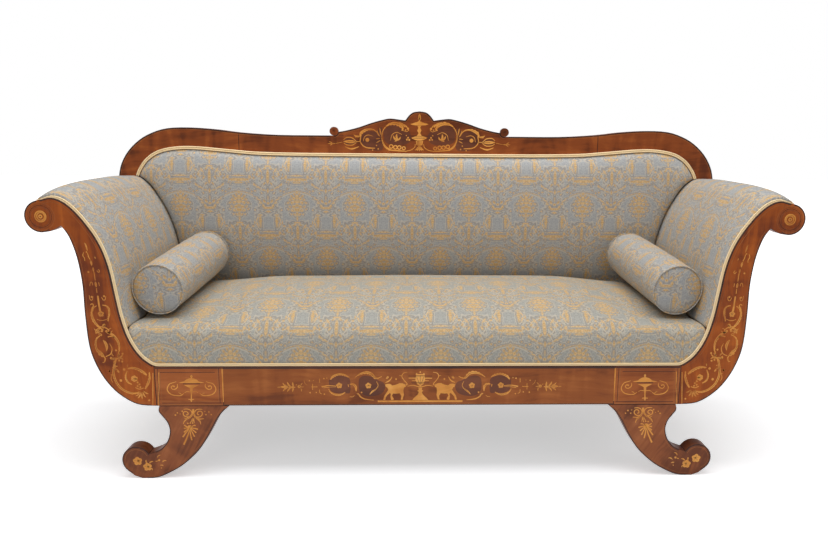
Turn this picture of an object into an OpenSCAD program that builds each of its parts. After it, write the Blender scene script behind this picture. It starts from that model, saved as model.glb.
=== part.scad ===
// Scroll-arm sofa (recamier) with inlaid show-wood frame, stuffed seat, back and arms, and two bolsters
// Origin: floor level, under the middle of the sofa. X runs along it, Y to the back, Z up.

/* [Overall size] */
// Length over the two arm scrolls
sofa_l = 2200; // [2100:10:2300]
// Depth from the face of the arm facings to the back of the frame
sofa_d = 640; // [600:5:680]
// Height of the legs under the seat rails
leg_h = 228; // [220:1:240]
// Height of the centre of the arm scrolls
scroll_z = 784; // [770:1:800]
// Height of the underside of the crest in the middle, where the back cover ends
crest_under_z = 945; // [930:1:960]

/* [Seat frame] */
// Height of the seat rails
rail_h = 120; // [112:1:126]
// Thickness of the front seat rail
front_rail_t = 40; // [34:1:46]
// Thickness of the side rails
side_rail_t = 36; // [30:1:42]
// Length of the corner blocks beside the front rail
block_l = 195; // [180:1:210]
// Thickness of the corner blocks
block_t = 60; // [56:1:68]
// Number of cross rails under the webbing
cross_rail_count = 3; // [1:1:5]
// Width of a cross rail
cross_rail_w = 50; // [40:1:60]
// Height of a cross rail
cross_rail_h = 34; // [28:1:44]
// Leg length of the glued braces in the frame's corners
brace_leg = 84; // [74:1:96]
// Height of the glued braces
brace_h = 70; // [56:1:84]
// Length of a rail tenon
tenon_l = 24; // [18:1:27]
// Thickness of a rail tenon
tenon_t = 12; // [10:1:14]
// Play of a tenon, dowel or inlay in its hole, all round
fit_gap = 0.1; // [0.05:0.05:0.2]

/* [Arms] */
// Distance from the corner block's outer end to the scroll's centre
arm_reach = 283; // [270:1:296]
// Radius of the arm scroll
scroll_r = 45; // [42:0.5:48]
// Thickness of the arm facing
facing_t = 45; // [40:1:50]
// Radius of the turned roundel in the scroll's face
roundel_r = 30; // [24:0.5:34]
// Depth of the roundel in the facing
roundel_t = 8; // [5:0.5:12]
// Radius of the round rail inside the scroll
scroll_rail_r = 34; // [30:0.5:36]
// Thickness of the straight rails inside the arm
arm_rail_t = 34; // [26:1:40]

/* [Legs] */
// Thickness of the legs, front to back
leg_t = 45; // [40:1:50]
// Length of a leg's top under the block and rail
leg_top_l = 205; // [196:1:214]
// Radius of the foot scroll
foot_r = 43; // [40:0.5:45]
// Width of the tenon on a leg's top
leg_tenon_w = 60; // [50:1:70]
// Height of the tenon on a leg's top
leg_tenon_h = 34; // [26:1:40]

/* [Back] */
// Thickness of the back frame
back_frame_t = 40; // [36:1:44]
// Height of the crest rail that shows in the middle
crest_h = 62; // [58:1:68]
// Hidden part of the crest and shoulders behind the back cover
crest_rebate = 24; // [18:1:30]
// Distance from the middle to the joint of crest rail and shoulder
shoulder_joint_x = 640; // [600:5:660]
// Thickness of the cresting board
cresting_t = 26; // [22:1:32]
// Height of the cresting over the crest rail
cresting_h = 86; // [76:1:96]
// Length of the cresting over its two end knobs
cresting_l = 638; // [620:2:660]
// Radius of the turned knobs at the cresting's ends
knob_r = 15; // [13:0.5:17]
// Height of the back's stuffing rail over the seat rail
stuffing_rail_rise = 82; // [70:1:94]
// Height of the back's stuffing rail
stuffing_rail_h = 50; // [40:1:60]
// Width of the two uprights in the back
upright_w = 60; // [50:1:70]
// Depth of the uprights and the stuffing rail in the back
upright_t = 32; // [28:1:34]

/* [Upholstery] */
// Rise of the seat over the rails along the front edge
seat_edge_rise = 96; // [84:1:106]
// Rise of the seat over the rails at the back
seat_crown_rise = 160; // [146:1:170]
// Stand of the back cushion proud of the crest, at most
back_crown = 46; // [36:1:54]
// Stand of the arm cushion proud of the facing's edge, at most
arm_crown = 36; // [28:1:40]
// Width of the double piping cord
piping_w = 12; // [10:0.5:13]
// Thickness of the piping cord
piping_t = 6; // [5:0.5:7]
// Thickness of a jute web
web_t = 2; // [1.5:0.1:2.4]
// Width of a jute web
web_w = 50; // [44:1:56]
// Thickness of the hessian and of the outer cloths
cloth_t = 1; // [0.8:0.1:1.2]
// Thickness of the first stuffing in the arms
arm_stuffing_t = 18; // [14:0.5:22]
// Height of the first stuffing in the seat
seat_stuffing_h = 40; // [30:1:50]

/* [Bolsters] */
// Length of a bolster over its welts
bolster_l = 476; // [450:2:486]
// Radius of a bolster in the middle
bolster_r = 77; // [72:0.5:79]
// Radius of the welt cord round its ends
welt_r = 3; // [2.5:0.1:3.5]
// Thickness of the bolster's cloth case
case_t = 1.5; // [1.2:0.1:2]

/* [Hidden] */
$fn = 64;

// Colours
show_wood = [0.50, 0.29, 0.19];
inner_wood = [0.80, 0.66, 0.46];
brocade = [0.62, 0.61, 0.58];
cord_colour = [0.82, 0.72, 0.56];
jute = [0.66, 0.54, 0.36];
metal = [0.55, 0.52, 0.46];

// Clearance of a soft piece from its neighbours, and an overrun for cuts
soft_gap = 0.3;
cut = 1;

// Main places
front_y = -sofa_d / 2;
back_y = sofa_d / 2;
back_frame_y = back_y - back_frame_t;
rail_top_z = leg_h + rail_h;
scroll_x = sofa_l / 2 - scroll_r;
block_x = scroll_x - arm_reach;
rail_x = block_x - block_l;
side_x = block_x - side_rail_t;
arm_rise = scroll_z - leg_h;
facing_back_y = front_y + facing_t;
tenon_h = rail_h - 2 * tenon_l;
crest_top_z = crest_under_z + crest_h;
stuffing_rail_z = rail_top_z + stuffing_rail_rise;

// Smooth curves

// Point at share t of the way from p1 to p2 on a curve led by p0 and p3
function curve_point(p0, p1, p2, p3, t) =
    0.5 * (2 * p1 + (p2 - p0) * t + (2 * p0 - 5 * p1 + 4 * p2 - p3) * t * t
           + (3 * p1 - p0 - 3 * p2 + p3) * t * t * t);
// Smooth curve through the points p, in n steps between neighbours
function smooth(p, n) = [
    for (i = [0 : len(p) - 2], k = [0 : n - 1])
        curve_point(p[max(i - 1, 0)], p[i], p[i + 1], p[min(i + 2, len(p) - 1)], k / n),
    p[len(p) - 1]
];
function arc(c, r, a0, a1, n) = [
    for (k = [0 : n]) let (a = blend(a0, a1, k / n)) c + r * [cos(a), sin(a)]];
function reversed(p) = [for (i = [len(p) - 1 : -1 : 0]) p[i]];
function part_of(p, a, b) = [for (i = [a : b]) p[i]];
function unit(v) = v / norm(v);
function direction(p, i) = unit(p[min(i + 1, len(p) - 1)] - p[max(i - 1, 0)]);
// Normal to the right of the way along p
function normal(p, i) = [direction(p, i)[1], -direction(p, i)[0]];
function offset_curve(p, d) = [for (i = [0 : len(p) - 1]) p[i] + d * normal(p, i)];
// Closed strip beside the curve p, from offset d0 to offset d1
function strip(p, d0, d1) = concat(offset_curve(p, d0), reversed(offset_curve(p, d1)));
function blend(a, b, t) = a + (b - a) * t;
// Quarter-round rise from 0 to 1 as t goes from 0 to 1
function swell(t) = sqrt(1 - pow(1 - min(max(t, 0), 1), 2));

// Outline of the arm's facing, as shares of arm_reach and arm_rise from the block's lower outer corner
outer_edge_shares = [[0, 0], [0.20, 0.010], [0.38, 0.068], [0.51, 0.149], [0.60, 0.248], [0.641, 0.345],
                     [0.654, 0.500], [0.654, 0.652], [0.684, 0.790], [0.742, 0.895], [0.81, 0.952]];
under_scroll_shares = [[0.86, 0.937], [0.92, 0.925]];
inner_edge_shares = [[0.88, 1.093], [0.76, 1.067], [0.645, 1.010], [0.52, 0.920], [0.438, 0.835],
                     [0.382, 0.734], [0.345, 0.607], [0.304, 0.475], [0.236, 0.357], [0.13, 0.268]];
function arm_points(shares) = [for (s = shares) [block_x + s[0] * arm_reach, leg_h + s[1] * arm_rise]];
scroll_c = [scroll_x, scroll_z];
edge_steps = 4;
// Angles round the scroll, from straight outward: the neck under it, the end of the padding's underside,
// the facing's last round point, where the padding ends, and where the inner edge starts
neck_angle = -90;
padding_angle = -130;
facing_end_angle = 76;
scroll_turn_angle = 80;
inner_start_angle = 92;
outer_edge = smooth(arm_points(outer_edge_shares), edge_steps);
inner_edge = smooth(concat(arc(scroll_c, scroll_r, scroll_turn_angle, inner_start_angle, 1),
                           arm_points(inner_edge_shares), [[block_x, rail_top_z]]), edge_steps);
scroll_steps = 18;
arm_outline = concat(outer_edge, arm_points(under_scroll_shares),
                     arc(scroll_c, scroll_r, neck_angle, facing_end_angle, scroll_steps), inner_edge);
module arm_profile() polygon(arm_outline);

// Extrudes a front view outline from y0 to y1
module slab(y0, y1) translate([0, y1, 0]) rotate([90, 0, 0]) linear_extrude(y1 - y0) children();
module left() mirror([1, 0, 0]) children();

// Height share of the arm's inner edge where the seat meets the arm cushion
crease_share = 0.375;
crease_z = leg_h + crease_share * arm_rise;
crease_i = max([for (i = [0 : len(inner_edge) - 1]) if (inner_edge[i][1] > crease_z) i]);
last_i = len(inner_edge) - 1;
// First point of the inner edge that is clear of the round scroll rail
neck_i = 3 * edge_steps;

// Seat frame

module tenon(l, w, h) cube([l, w, h], center = true);
module front_seat_rail() color(show_wood) {
    translate([-rail_x, front_y, leg_h]) cube([2 * rail_x, front_rail_t, rail_h]);
    for (s = [-1, 1])
        translate([s * (rail_x + tenon_l / 2), front_y + front_rail_t / 2, leg_h + rail_h / 2])
            tenon(tenon_l, tenon_t, tenon_h);
}
leg_tenon_x = rail_x + block_l / 2;
module corner_block() color(show_wood) difference() {
    translate([rail_x, front_y, leg_h]) cube([block_l, block_t, rail_h]);
    translate([rail_x + tenon_l / 2, front_y + front_rail_t / 2, leg_h + rail_h / 2])
        tenon(tenon_l + 2 * fit_gap, tenon_t + 2 * fit_gap, tenon_h + 2 * fit_gap);
    translate([side_x + side_rail_t / 2, front_y + block_t - tenon_l / 2, leg_h + rail_h / 2])
        tenon(tenon_t + 2 * fit_gap, tenon_l + 2 * fit_gap, tenon_h + 2 * fit_gap);
    leg_socket(front_y);
    corner_screw_holes();
    for (z = dowel_zs) dowel_hole([block_x, front_dowel_y, z]);
}
module leg_socket(y) translate([leg_tenon_x, y + leg_t / 2, leg_h + leg_tenon_h / 2])
    tenon(leg_tenon_w + 2 * fit_gap, tenon_t + 2 * fit_gap, leg_tenon_h + 2 * fit_gap);
module side_rail() color(inner_wood) difference() {
    plain_side_rail();
    corner_screw_holes();
}
module plain_side_rail() {
    translate([side_x, front_y + block_t, leg_h])
        cube([side_rail_t, back_frame_y - front_y - block_t, rail_h]);
    for (y = [front_y + block_t - tenon_l / 2, back_frame_y + tenon_l / 2])
        translate([side_x + side_rail_t / 2, y, leg_h + rail_h / 2]) tenon(tenon_t, tenon_l, tenon_h);
}
module back_seat_rail() color(inner_wood) difference() {
    translate([-block_x, back_frame_y, leg_h]) cube([2 * block_x, back_frame_t, rail_h]);
    corner_screw_holes();
    for (s = [-1, 1]) scale([s, 1, 1]) {
        translate([side_x + side_rail_t / 2, back_frame_y + tenon_l / 2, leg_h + rail_h / 2])
            tenon(tenon_t + 2 * fit_gap, tenon_l + 2 * fit_gap, tenon_h + 2 * fit_gap);
        leg_socket(back_y - leg_t);
        for (z = dowel_zs) dowel_hole([block_x, rear_dowel_y, z]);
    }
}
cross_rail_pitch = 2 * rail_x / (cross_rail_count + 1);
cross_rail_z = rail_top_z - cross_rail_h - brace_leg / 6;
module cross_rails() color(inner_wood) for (k = [1 : cross_rail_count])
    translate([-rail_x + k * cross_rail_pitch - cross_rail_w / 2, front_y + front_rail_t, cross_rail_z])
        cube([cross_rail_w, back_frame_y - front_y - front_rail_t, cross_rail_h]);

// Glued braces in the four corners, each held by two screws at two heights
screw_r = 2.5;
screw_head_r = 5;
screw_head_t = 3;
screw_l = 46;
// Brace left between a screw's head and the rail
screw_seat = 26;
// Distance of a screw from the corner, and of its height from the brace's middle
screw_place = 24;
screw_step = 16;
brace_z = leg_h + (rail_h - brace_h) / 2;
module brace_screw(play) {
    translate([0, 0, -screw_seat]) cylinder(r = screw_r + play, h = screw_l + play);
    translate([0, 0, -screw_seat - screw_head_t]) cylinder(r = screw_head_r + play, h = screw_head_t);
}
// Puts its children at both screws of a corner: +Z runs into the rail, from its face
module at_corner_screws() {
    translate([0, screw_place, brace_z + brace_h / 2 + screw_step]) rotate([0, 90, 0]) children();
    translate([-screw_place, 0, brace_z + brace_h / 2 - screw_step]) rotate([90, 0, 0]) children();
}
module corner_brace() difference() {
    translate([0, 0, brace_z]) linear_extrude(brace_h) polygon([[0, 0], [-brace_leg, 0], [0, brace_leg]]);
    at_corner_screws() brace_screw(fit_gap);
    at_corner_screws() translate([0, 0, -brace_leg])
        cylinder(r = screw_head_r + fit_gap, h = brace_leg - screw_seat);
}
module in_front_corners() for (s = [-1, 1])
    scale([s, 1, 1]) translate([side_x, front_y + block_t, 0]) children();
module in_rear_corners() for (s = [-1, 1])
    scale([s, -1, 1]) translate([side_x, -back_frame_y, 0]) children();
module corner_screw_holes() {
    in_front_corners() at_corner_screws() brace_screw(fit_gap);
    in_rear_corners() at_corner_screws() brace_screw(fit_gap);
}
module corner_braces() color(inner_wood) {
    in_front_corners() corner_brace();
    in_rear_corners() corner_brace();
}
module brace_screws() color(metal) {
    in_front_corners() at_corner_screws() brace_screw(0);
    in_rear_corners() at_corner_screws() brace_screw(0);
}

// Dowels: facings and rear posts to the seat frame, cresting and shoulders to the crest rail
dowel_r = 5;
dowel_l = 36;
// The rear dowels lie behind the side rail's tenon
front_dowel_y = front_y + facing_t / 2;
rear_dowel_y = back_frame_y + tenon_l + 1.6 * dowel_r;
dowel_zs = [leg_h + rail_h * 0.3, leg_h + rail_h * 0.7];
module dowel_hole(p) translate(p - [dowel_l / 2 + fit_gap, 0, 0])
    rotate([0, 90, 0]) cylinder(r = dowel_r + fit_gap, h = dowel_l + 2 * fit_gap);
module dowel(p) translate(p - [dowel_l / 2, 0, 0]) rotate([0, 90, 0])
    cylinder(r = dowel_r, h = dowel_l);
shoulder_dowel_zs = [crest_under_z + crest_h * 0.05, crest_under_z + crest_h * 0.8];
cresting_dowel_xs = [-cresting_l * 0.3, 0, cresting_l * 0.3];
module cresting_dowel(x, play) translate([x, back_frame_y + cresting_t / 2, crest_top_z - dowel_l / 2 - play])
    cylinder(r = dowel_r + play, h = dowel_l + 2 * play);
module frame_dowels() color(inner_wood) {
    for (s = [-1, 1]) scale([s, 1, 1]) {
        for (z = dowel_zs, y = [front_dowel_y, rear_dowel_y]) dowel([block_x, y, z]);
        for (z = shoulder_dowel_zs) dowel([shoulder_joint_x, back_frame_y + back_frame_t / 2, z]);
    }
    for (x = cresting_dowel_xs) cresting_dowel(x, 0);
}

// Legs

// Outline of a leg, as shares of its top's length and of its height, from the top's inner corner
leg_outer_shares = [[1, 1], [1.015, 0.925], [0.961, 0.851], [0.907, 0.781], [0.878, 0.702], [0.878, 0.623],
                    [0.917, 0.518], [1.015, 0.408], [1.17, 0.346]];
leg_toe_shares = [[1.415, 0.035], [1.307, 0]];
leg_under_shares = [[1.161, 0], [1.054, 0.018], [0.902, 0.079], [0.737, 0.167], [0.576, 0.289],
                    [0.454, 0.408], [0.351, 0.548], [0.263, 0.689], [0.185, 0.816], [0.107, 0.912], [0, 1]];
// Arc of the foot scroll, in angles from straight outward
foot_start_angle = 150;
foot_end_angle = -52;
foot_x_share = 1.375;
foot_z_share = 0.25;
// How far a leg's top reaches past the block, under the front rail
leg_overhang = 17;
leg_x = rail_x - leg_overhang;
function leg_points(shares) = [for (s = shares) [leg_x + s[0] * leg_top_l, s[1] * leg_h]];
foot_c = leg_points([[foot_x_share, foot_z_share]])[0];
leg_steps = 3;
leg_outline = concat(smooth(leg_points(leg_outer_shares), leg_steps),
                     arc(foot_c, foot_r, foot_start_angle, foot_end_angle, scroll_steps),
                     leg_points(leg_toe_shares), smooth(leg_points(leg_under_shares), leg_steps));
module leg(y0) color(show_wood) {
    slab(y0, y0 + leg_t) polygon(leg_outline);
    translate([leg_tenon_x, y0 + leg_t / 2, leg_h + leg_tenon_h / 2])
        tenon(leg_tenon_w, tenon_t, leg_tenon_h);
}

// Arms

module arm_facing() color(show_wood) difference() {
    slab(front_y, facing_back_y) arm_profile();
    translate([scroll_x, front_y + roundel_t, scroll_z]) rotate([90, 0, 0])
        cylinder(r = roundel_r + fit_gap, h = roundel_t + cut);
    for (z = dowel_zs) dowel_hole([block_x, front_dowel_y, z]);
}
// Turned roundel: a raised eye and two beads inside a flat rim
module scroll_roundel() color(show_wood)
    translate([scroll_x, front_y + roundel_t, scroll_z]) rotate([90, 0, 0]) rotate_extrude()
        polygon([[0, 0], [roundel_r, 0], [roundel_r, roundel_t], [roundel_r * 0.9, roundel_t],
                 [roundel_r * 0.82, roundel_t * 0.8], [roundel_r * 0.6, roundel_t * 0.8],
                 [roundel_r * 0.52, roundel_t], [roundel_r * 0.44, roundel_t * 0.8],
                 [roundel_r * 0.3, roundel_t * 0.8], [roundel_r * 0.2, roundel_t], [0, roundel_t]]);
module rear_post() color(inner_wood) difference() {
    slab(back_frame_y, back_y) arm_profile();
    for (z = dowel_zs) dowel_hole([block_x, rear_dowel_y, z]);
}
module scroll_rail() color(inner_wood)
    translate([scroll_x, back_frame_y, scroll_z]) rotate([90, 0, 0])
        cylinder(r = scroll_rail_r, h = back_frame_y - facing_back_y);
// Strip along the arm's inner edge, between the facing and the rear post
function edge_part(a, b, d) = part_of(offset_curve(inner_edge, d), a, b);
module arm_strip(a, b, d0, d1) slab(facing_back_y, back_frame_y)
    polygon(concat(edge_part(a, b, d0), reversed(edge_part(a, b, d1))));
web_depth = arm_stuffing_t + web_t;
middle_rail_i = round(blend(neck_i, crease_i, 0.6));
module middle_arm_rail() color(inner_wood)
    arm_strip(middle_rail_i - 1, middle_rail_i + 1, -web_depth, -web_depth - arm_rail_t);
module lower_arm_rail() color(inner_wood) arm_strip(crease_i + 2, last_i - 1, 0, -arm_rail_t);
module arm_webbing() color(jute) arm_strip(neck_i, crease_i, -arm_stuffing_t, -web_depth);
module arm_stuffing() color(jute) arm_strip(neck_i, crease_i, 0, -arm_stuffing_t);
// Padding rolled round the scroll rail
module scroll_padding() color(brocade) slab(facing_back_y, back_frame_y - soft_gap) difference() {
    polygon(concat(arc(scroll_c, scroll_r - soft_gap, padding_angle, scroll_turn_angle, scroll_steps),
                   edge_part(1, neck_i, -soft_gap), edge_part(neck_i, neck_i, -web_depth)));
    translate(scroll_c) circle(r = scroll_rail_r);
}
// Cloth over the arm's outer side, just inside the facing's outer edge
outside_cloth_inset = 2;
module outside_arm_cloth() color(brocade) slab(facing_back_y, back_frame_y)
    polygon(strip(part_of(outer_edge, edge_steps, len(outer_edge) - 2), -outside_cloth_inset,
                  -outside_cloth_inset - cloth_t));

// Back frame

// Top and inner edges of the back frame, as shares of scroll_x and of the height over the scroll's centre
top_edge_shares = [[0, 1], [0.20, 1], [0.327, 1], [0.479, 1.002], [0.601, 1.036], [0.682, 1.081],
                   [0.7725, 1.108], [0.8436, 1.092], [0.8957, 1.018], [0.938, 0.906], [0.976, 0.735],
                   [1.001, 0.543], [1.0123, 0.350], [1.0145, 0.139]];
crest_edge_shares = [[0, 1.003], [0.13, 1.003], [0.268, 1.003], [0.4076, 1.006], [0.540, 1.022],
                     [0.6095, 1.056], [0.678, 1.095], [0.744, 1.130], [0.8057, 1.130], [0.867, 1.060],
                     [0.908, 0.920], [0.937, 0.715], [0.9555, 0.46], [0.958, 0.068]];
back_steps = 3;
top_edge = smooth([for (s = top_edge_shares)
    [s[0] * scroll_x, scroll_z + s[1] * (crest_top_z - scroll_z)]], back_steps);
crest_edge = smooth([for (s = crest_edge_shares)
    [s[0] * scroll_x, scroll_z + s[1] * (crest_under_z - scroll_z)]], back_steps);
hidden_edge = offset_curve(crest_edge, crest_rebate);
module half_back_frame() polygon(concat([[-crest_h, top_edge[0][1]]], top_edge, reversed(hidden_edge),
                                        [[-crest_h, hidden_edge[0][1]]]));
module cresting_dowel_holes() for (x = cresting_dowel_xs) cresting_dowel(x, fit_gap);
module shoulder_dowel_holes() for (s = [-1, 1], z = shoulder_dowel_zs)
    dowel_hole([s * shoulder_joint_x, back_frame_y + back_frame_t / 2, z]);
module crest_rail() color(show_wood) difference() {
    slab(back_frame_y, back_y) intersection() {
        union() {
            half_back_frame();
            left() half_back_frame();
        }
        translate([-shoulder_joint_x, 0]) square([2 * shoulder_joint_x, 2 * crest_top_z]);
    }
    cresting_dowel_holes();
    shoulder_dowel_holes();
}
module shoulder() color(show_wood) difference() {
    slab(back_frame_y, back_y) difference() {
        half_back_frame();
        translate([-scroll_x, 0]) square([scroll_x + shoulder_joint_x, 2 * crest_top_z]);
        arm_profile();
    }
    shoulder_dowel_holes();
}
// Outline of the cresting, as shares of half its length and of its height: the dome, then a wing
dome_shares = [[0, 1], [0.069, 0.96], [0.116, 0.837], [0.157, 0.64]];
wing_shares = [[0.157, 0.63], [0.226, 0.663], [0.323, 0.703], [0.401, 0.657], [0.533, 0.523], [0.668, 0.349],
               [0.799, 0.221], [0.893, 0.155], [0.953, 0.14]];
knob_x = cresting_l / 2 - knob_r;
knob_z = crest_top_z + knob_r;
function cresting_points(shares) = [
    for (s = shares) [s[0] * cresting_l / 2, crest_top_z + s[1] * cresting_h]];
module half_cresting() difference() {
    polygon(concat([[0, crest_top_z]], smooth(cresting_points(dome_shares), edge_steps),
                   smooth(cresting_points(wing_shares), back_steps), [[knob_x, crest_top_z]]));
    translate([knob_x, knob_z]) circle(r = knob_r);
}
module cresting() color(show_wood) difference() {
    slab(back_frame_y, back_frame_y + cresting_t) union() {
        half_cresting();
        left() half_cresting();
    }
    cresting_dowel_holes();
}
// Turned knobs with a sunk eye
module cresting_knobs() color(show_wood) for (s = [-1, 1])
    translate([s * knob_x, back_frame_y, knob_z]) rotate([-90, 0, 0]) difference() {
        cylinder(r = knob_r, h = cresting_t);
        translate([0, 0, -cut]) cylinder(r = knob_r / 3, h = cut + cresting_t / 10);
    }
module back_stuffing_rail() color(inner_wood) slab(back_frame_y, back_frame_y + upright_t) difference() {
    translate([-scroll_x, stuffing_rail_z]) square([2 * scroll_x, stuffing_rail_h]);
    arm_profile();
    left() arm_profile();
    for (s = [-1, 1]) translate([s * scroll_x, stuffing_rail_z + stuffing_rail_h / 2])
        square([2 * (arm_reach * 0.67), 2 * stuffing_rail_h], center = true);
}
upright_x = shoulder_joint_x * 0.46;
module back_uprights() color(inner_wood) slab(back_frame_y, back_frame_y + upright_t) for (s = [-1, 1])
    scale([s, 1]) difference() {
        translate([upright_x - upright_w / 2, stuffing_rail_z + stuffing_rail_h])
            square([upright_w, crest_under_z - stuffing_rail_z - stuffing_rail_h]);
        half_back_frame();
    }

// Soft forms

// Closed solid through rings of points, closed at both ends by a fan about a middle point
module ringed(rings, first, last) {
    n = len(rings[0]);
    m = len(rings);
    polyhedron(
        points = concat([for (r = rings) each r], [first, last]),
        faces = concat(
            [for (k = [0 : m - 2], i = [0 : n - 1]) each [
                [(k + 1) * n + (i + 1) % n, k * n + (i + 1) % n, k * n + i],
                [(k + 1) * n + i, (k + 1) * n + (i + 1) % n, k * n + i]]],
            [for (i = [0 : n - 1]) [i, (i + 1) % n, m * n]],
            [for (i = [0 : n - 1]) [(m - 1) * n + (i + 1) % n, (m - 1) * n + i, m * n + 1]]));
}
// Closed solid between two grids of points, the upper one and the lower one
module quilt(upper, lower) {
    n = len(upper[0]);
    m = len(upper);
    low = m * n;
    polyhedron(
        points = concat([for (r = upper) each r], [for (r = lower) each r]),
        faces = concat(
            [for (k = [0 : m - 2], i = [0 : n - 2]) each [
                [k * n + i, k * n + i + 1, (k + 1) * n + i + 1],
                [k * n + i, (k + 1) * n + i + 1, (k + 1) * n + i]]],
            [for (k = [0 : m - 2], i = [0 : n - 2]) each [
                [low + k * n + i, low + (k + 1) * n + i + 1, low + k * n + i + 1],
                [low + k * n + i, low + (k + 1) * n + i, low + (k + 1) * n + i + 1]]],
            [for (i = [0 : n - 2]) each [
                [i + 1, i, low + i], [i + 1, low + i, low + i + 1]]],
            [for (i = [0 : n - 2]) let (e = (m - 1) * n + i) each [
                [e, e + 1, low + e + 1], [e, low + e + 1, low + e]]],
            [for (k = [0 : m - 2]) let (a = k * n, b = (k + 1) * n) each [
                [a, b, low + b], [a, low + b, low + a]]],
            [for (k = [0 : m - 2]) let (a = k * n + n - 1, b = (k + 1) * n + n - 1) each [
                [b, a, low + a], [b, low + a, low + b]]]));
}

// Height of the arm cushion along the arm's inner edge, as shares of arm_crown, from scroll to crease
arm_height_shares = [[0, 0.06], [0.06, 0.42], [0.14, 0.82], [0.24, 1], [0.34, 0.96], [0.46, 0.72],
                     [0.58, 0.50], [0.72, 0.40], [1, 0.36]];
// Height of the arm cushion's front border, as a share of its height further back
border_share = 0.35;
// Depth over which the front border rounds up to the full height
border_round = 52;
function arm_height(i) = arm_crown * lookup(i / crease_i, arm_height_shares);
arm_y0 = front_y + piping_t + soft_gap;
arm_y1 = back_frame_y - soft_gap;
// Rows of the arm cushion, as shares of border_round from its front, then of its length
arm_row_ys = concat([for (s = [0, 0.05, 0.16, 0.36, 0.65, 1]) arm_y0 + s * border_round],
                    [for (s = [0.3, 0.5, 0.7, 0.9, 1]) blend(arm_y0, arm_y1, s)]);
function arm_surface(i, y) = inner_edge[i] + normal(inner_edge, i) * max(arm_height(i)
    * blend(border_share, 1, swell((y - arm_y0) / border_round)), 2 * soft_gap);
module arm_cushion() color(brocade) quilt(
    [for (y = arm_row_ys) [for (i = [0 : crease_i]) let (p = arm_surface(i, y)) [p[0], y, p[1]]]],
    [for (y = arm_row_ys) [for (i = [0 : crease_i])
        let (p = inner_edge[i] + normal(inner_edge, i) * soft_gap) [p[0], y, p[1]]]]);

// Seat cushion

seat_y0 = arm_y0;
seat_depth = sofa_d - back_frame_t - back_crown - piping_t - 2 * soft_gap;
seat_y1 = seat_y0 + seat_depth;
seat_base_z = rail_top_z + 2 * web_t + cloth_t + soft_gap;
lower_edge = part_of(inner_edge, crease_i, last_i);
function seat_half(z) = lookup(z, [for (p = reversed(lower_edge)) [p[1], p[0]]]) - soft_gap;
// Rise from the front edge to the crown, as shares of the seat's depth and of the rise
seat_rise_shares = [[0, -0.4], [0.03, 0.04], [0.09, 0.36], [0.18, 0.60], [0.36, 0.85], [0.6, 1], [1, 1]];
// Fall of the seat towards the arms, as a share of the rise from edge to crown
side_fall_share = 0.3;
function seat_z(x, y) = rail_top_z + seat_edge_rise + (seat_crown_rise - seat_edge_rise)
    * (lookup((y - seat_y0) / seat_depth, seat_rise_shares)
       - side_fall_share * pow(abs(x) / seat_half(crease_z), 4));
// Rectangular ring of points with sides at +-hx, y0 and y1, closer together at the corners
seat_nx = 18;
seat_ny = 8;
function ring_xy(hx, y0, y1) = concat(
    [for (k = [0 : seat_nx - 1]) [hx * sin(90 * (2 * k / seat_nx - 1)), y0]],
    [for (k = [0 : seat_ny - 1]) [hx, blend(y0, y1, (1 + sin(90 * (2 * k / seat_ny - 1))) / 2)]],
    [for (k = [0 : seat_nx - 1]) [-hx * sin(90 * (2 * k / seat_nx - 1)), y1]],
    [for (k = [0 : seat_ny - 1]) [-hx, blend(y1, y0, (1 + sin(90 * (2 * k / seat_ny - 1))) / 2)]]);
function level_ring(hx, y0, y1, z) = [for (p = ring_xy(hx, y0, y1)) [p[0], p[1], z]];
function dome_ring(hx, y0, y1) = [for (p = ring_xy(hx, y0, y1)) [p[0], p[1], seat_z(p[0], p[1])]];
// Wall of the seat cushion: shares of the height from base to edge, with the set-back from the front
seat_wall_shares = [[0, 0], [0.25, -0.012], [0.5, -0.016], [0.72, 0.0], [0.88, 0.06], [1.02, 0.15]];
// The wall's set-back from the sides at the same heights
seat_side_shares = [0, 0, 0, 0, 0.10, 0.22];
// Rings over the crown, as shares of the seat's depth in from the front, the back and the sides
seat_dome_shares = [[0.06, 0.012, 0.06], [0.10, 0.03, 0.09], [0.17, 0.07, 0.17], [0.25, 0.15, 0.30],
                    [0.34, 0.27, 0.50], [0.43, 0.40, 0.75]];
seat_edge_z = rail_top_z + seat_edge_rise;
module seat_cushion() color(brocade) {
    wall = [for (k = [0 : len(seat_wall_shares) - 1]) let (s = seat_wall_shares[k],
            z = blend(seat_base_z, seat_edge_z, s[0]))
        level_ring(seat_half(min(z, crease_z)) - seat_side_shares[k] * seat_edge_rise,
                   seat_y0 + max(s[1], 0) * seat_edge_rise, seat_y1, z)];
    dome = [for (s = seat_dome_shares) dome_ring(seat_half(crease_z) - s[2] * seat_depth,
                                                 seat_y0 + s[0] * seat_depth, seat_y1 - s[1] * seat_depth)];
    tray = [level_ring(stuffing_half + soft_gap, stuffing_y0 - soft_gap, stuffing_y1 + soft_gap,
                       seat_base_z + seat_stuffing_h),
            level_ring(stuffing_half + 2 * soft_gap, stuffing_y0 - 2 * soft_gap, stuffing_y1 + 2 * soft_gap,
                       seat_base_z)];
    top = [0, blend(seat_y0, seat_y1, 0.5), seat_z(0, blend(seat_y0, seat_y1, 0.5))];
    ringed(concat(tray, wall, dome), [0, 0, seat_base_z + seat_stuffing_h], top);
}
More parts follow.
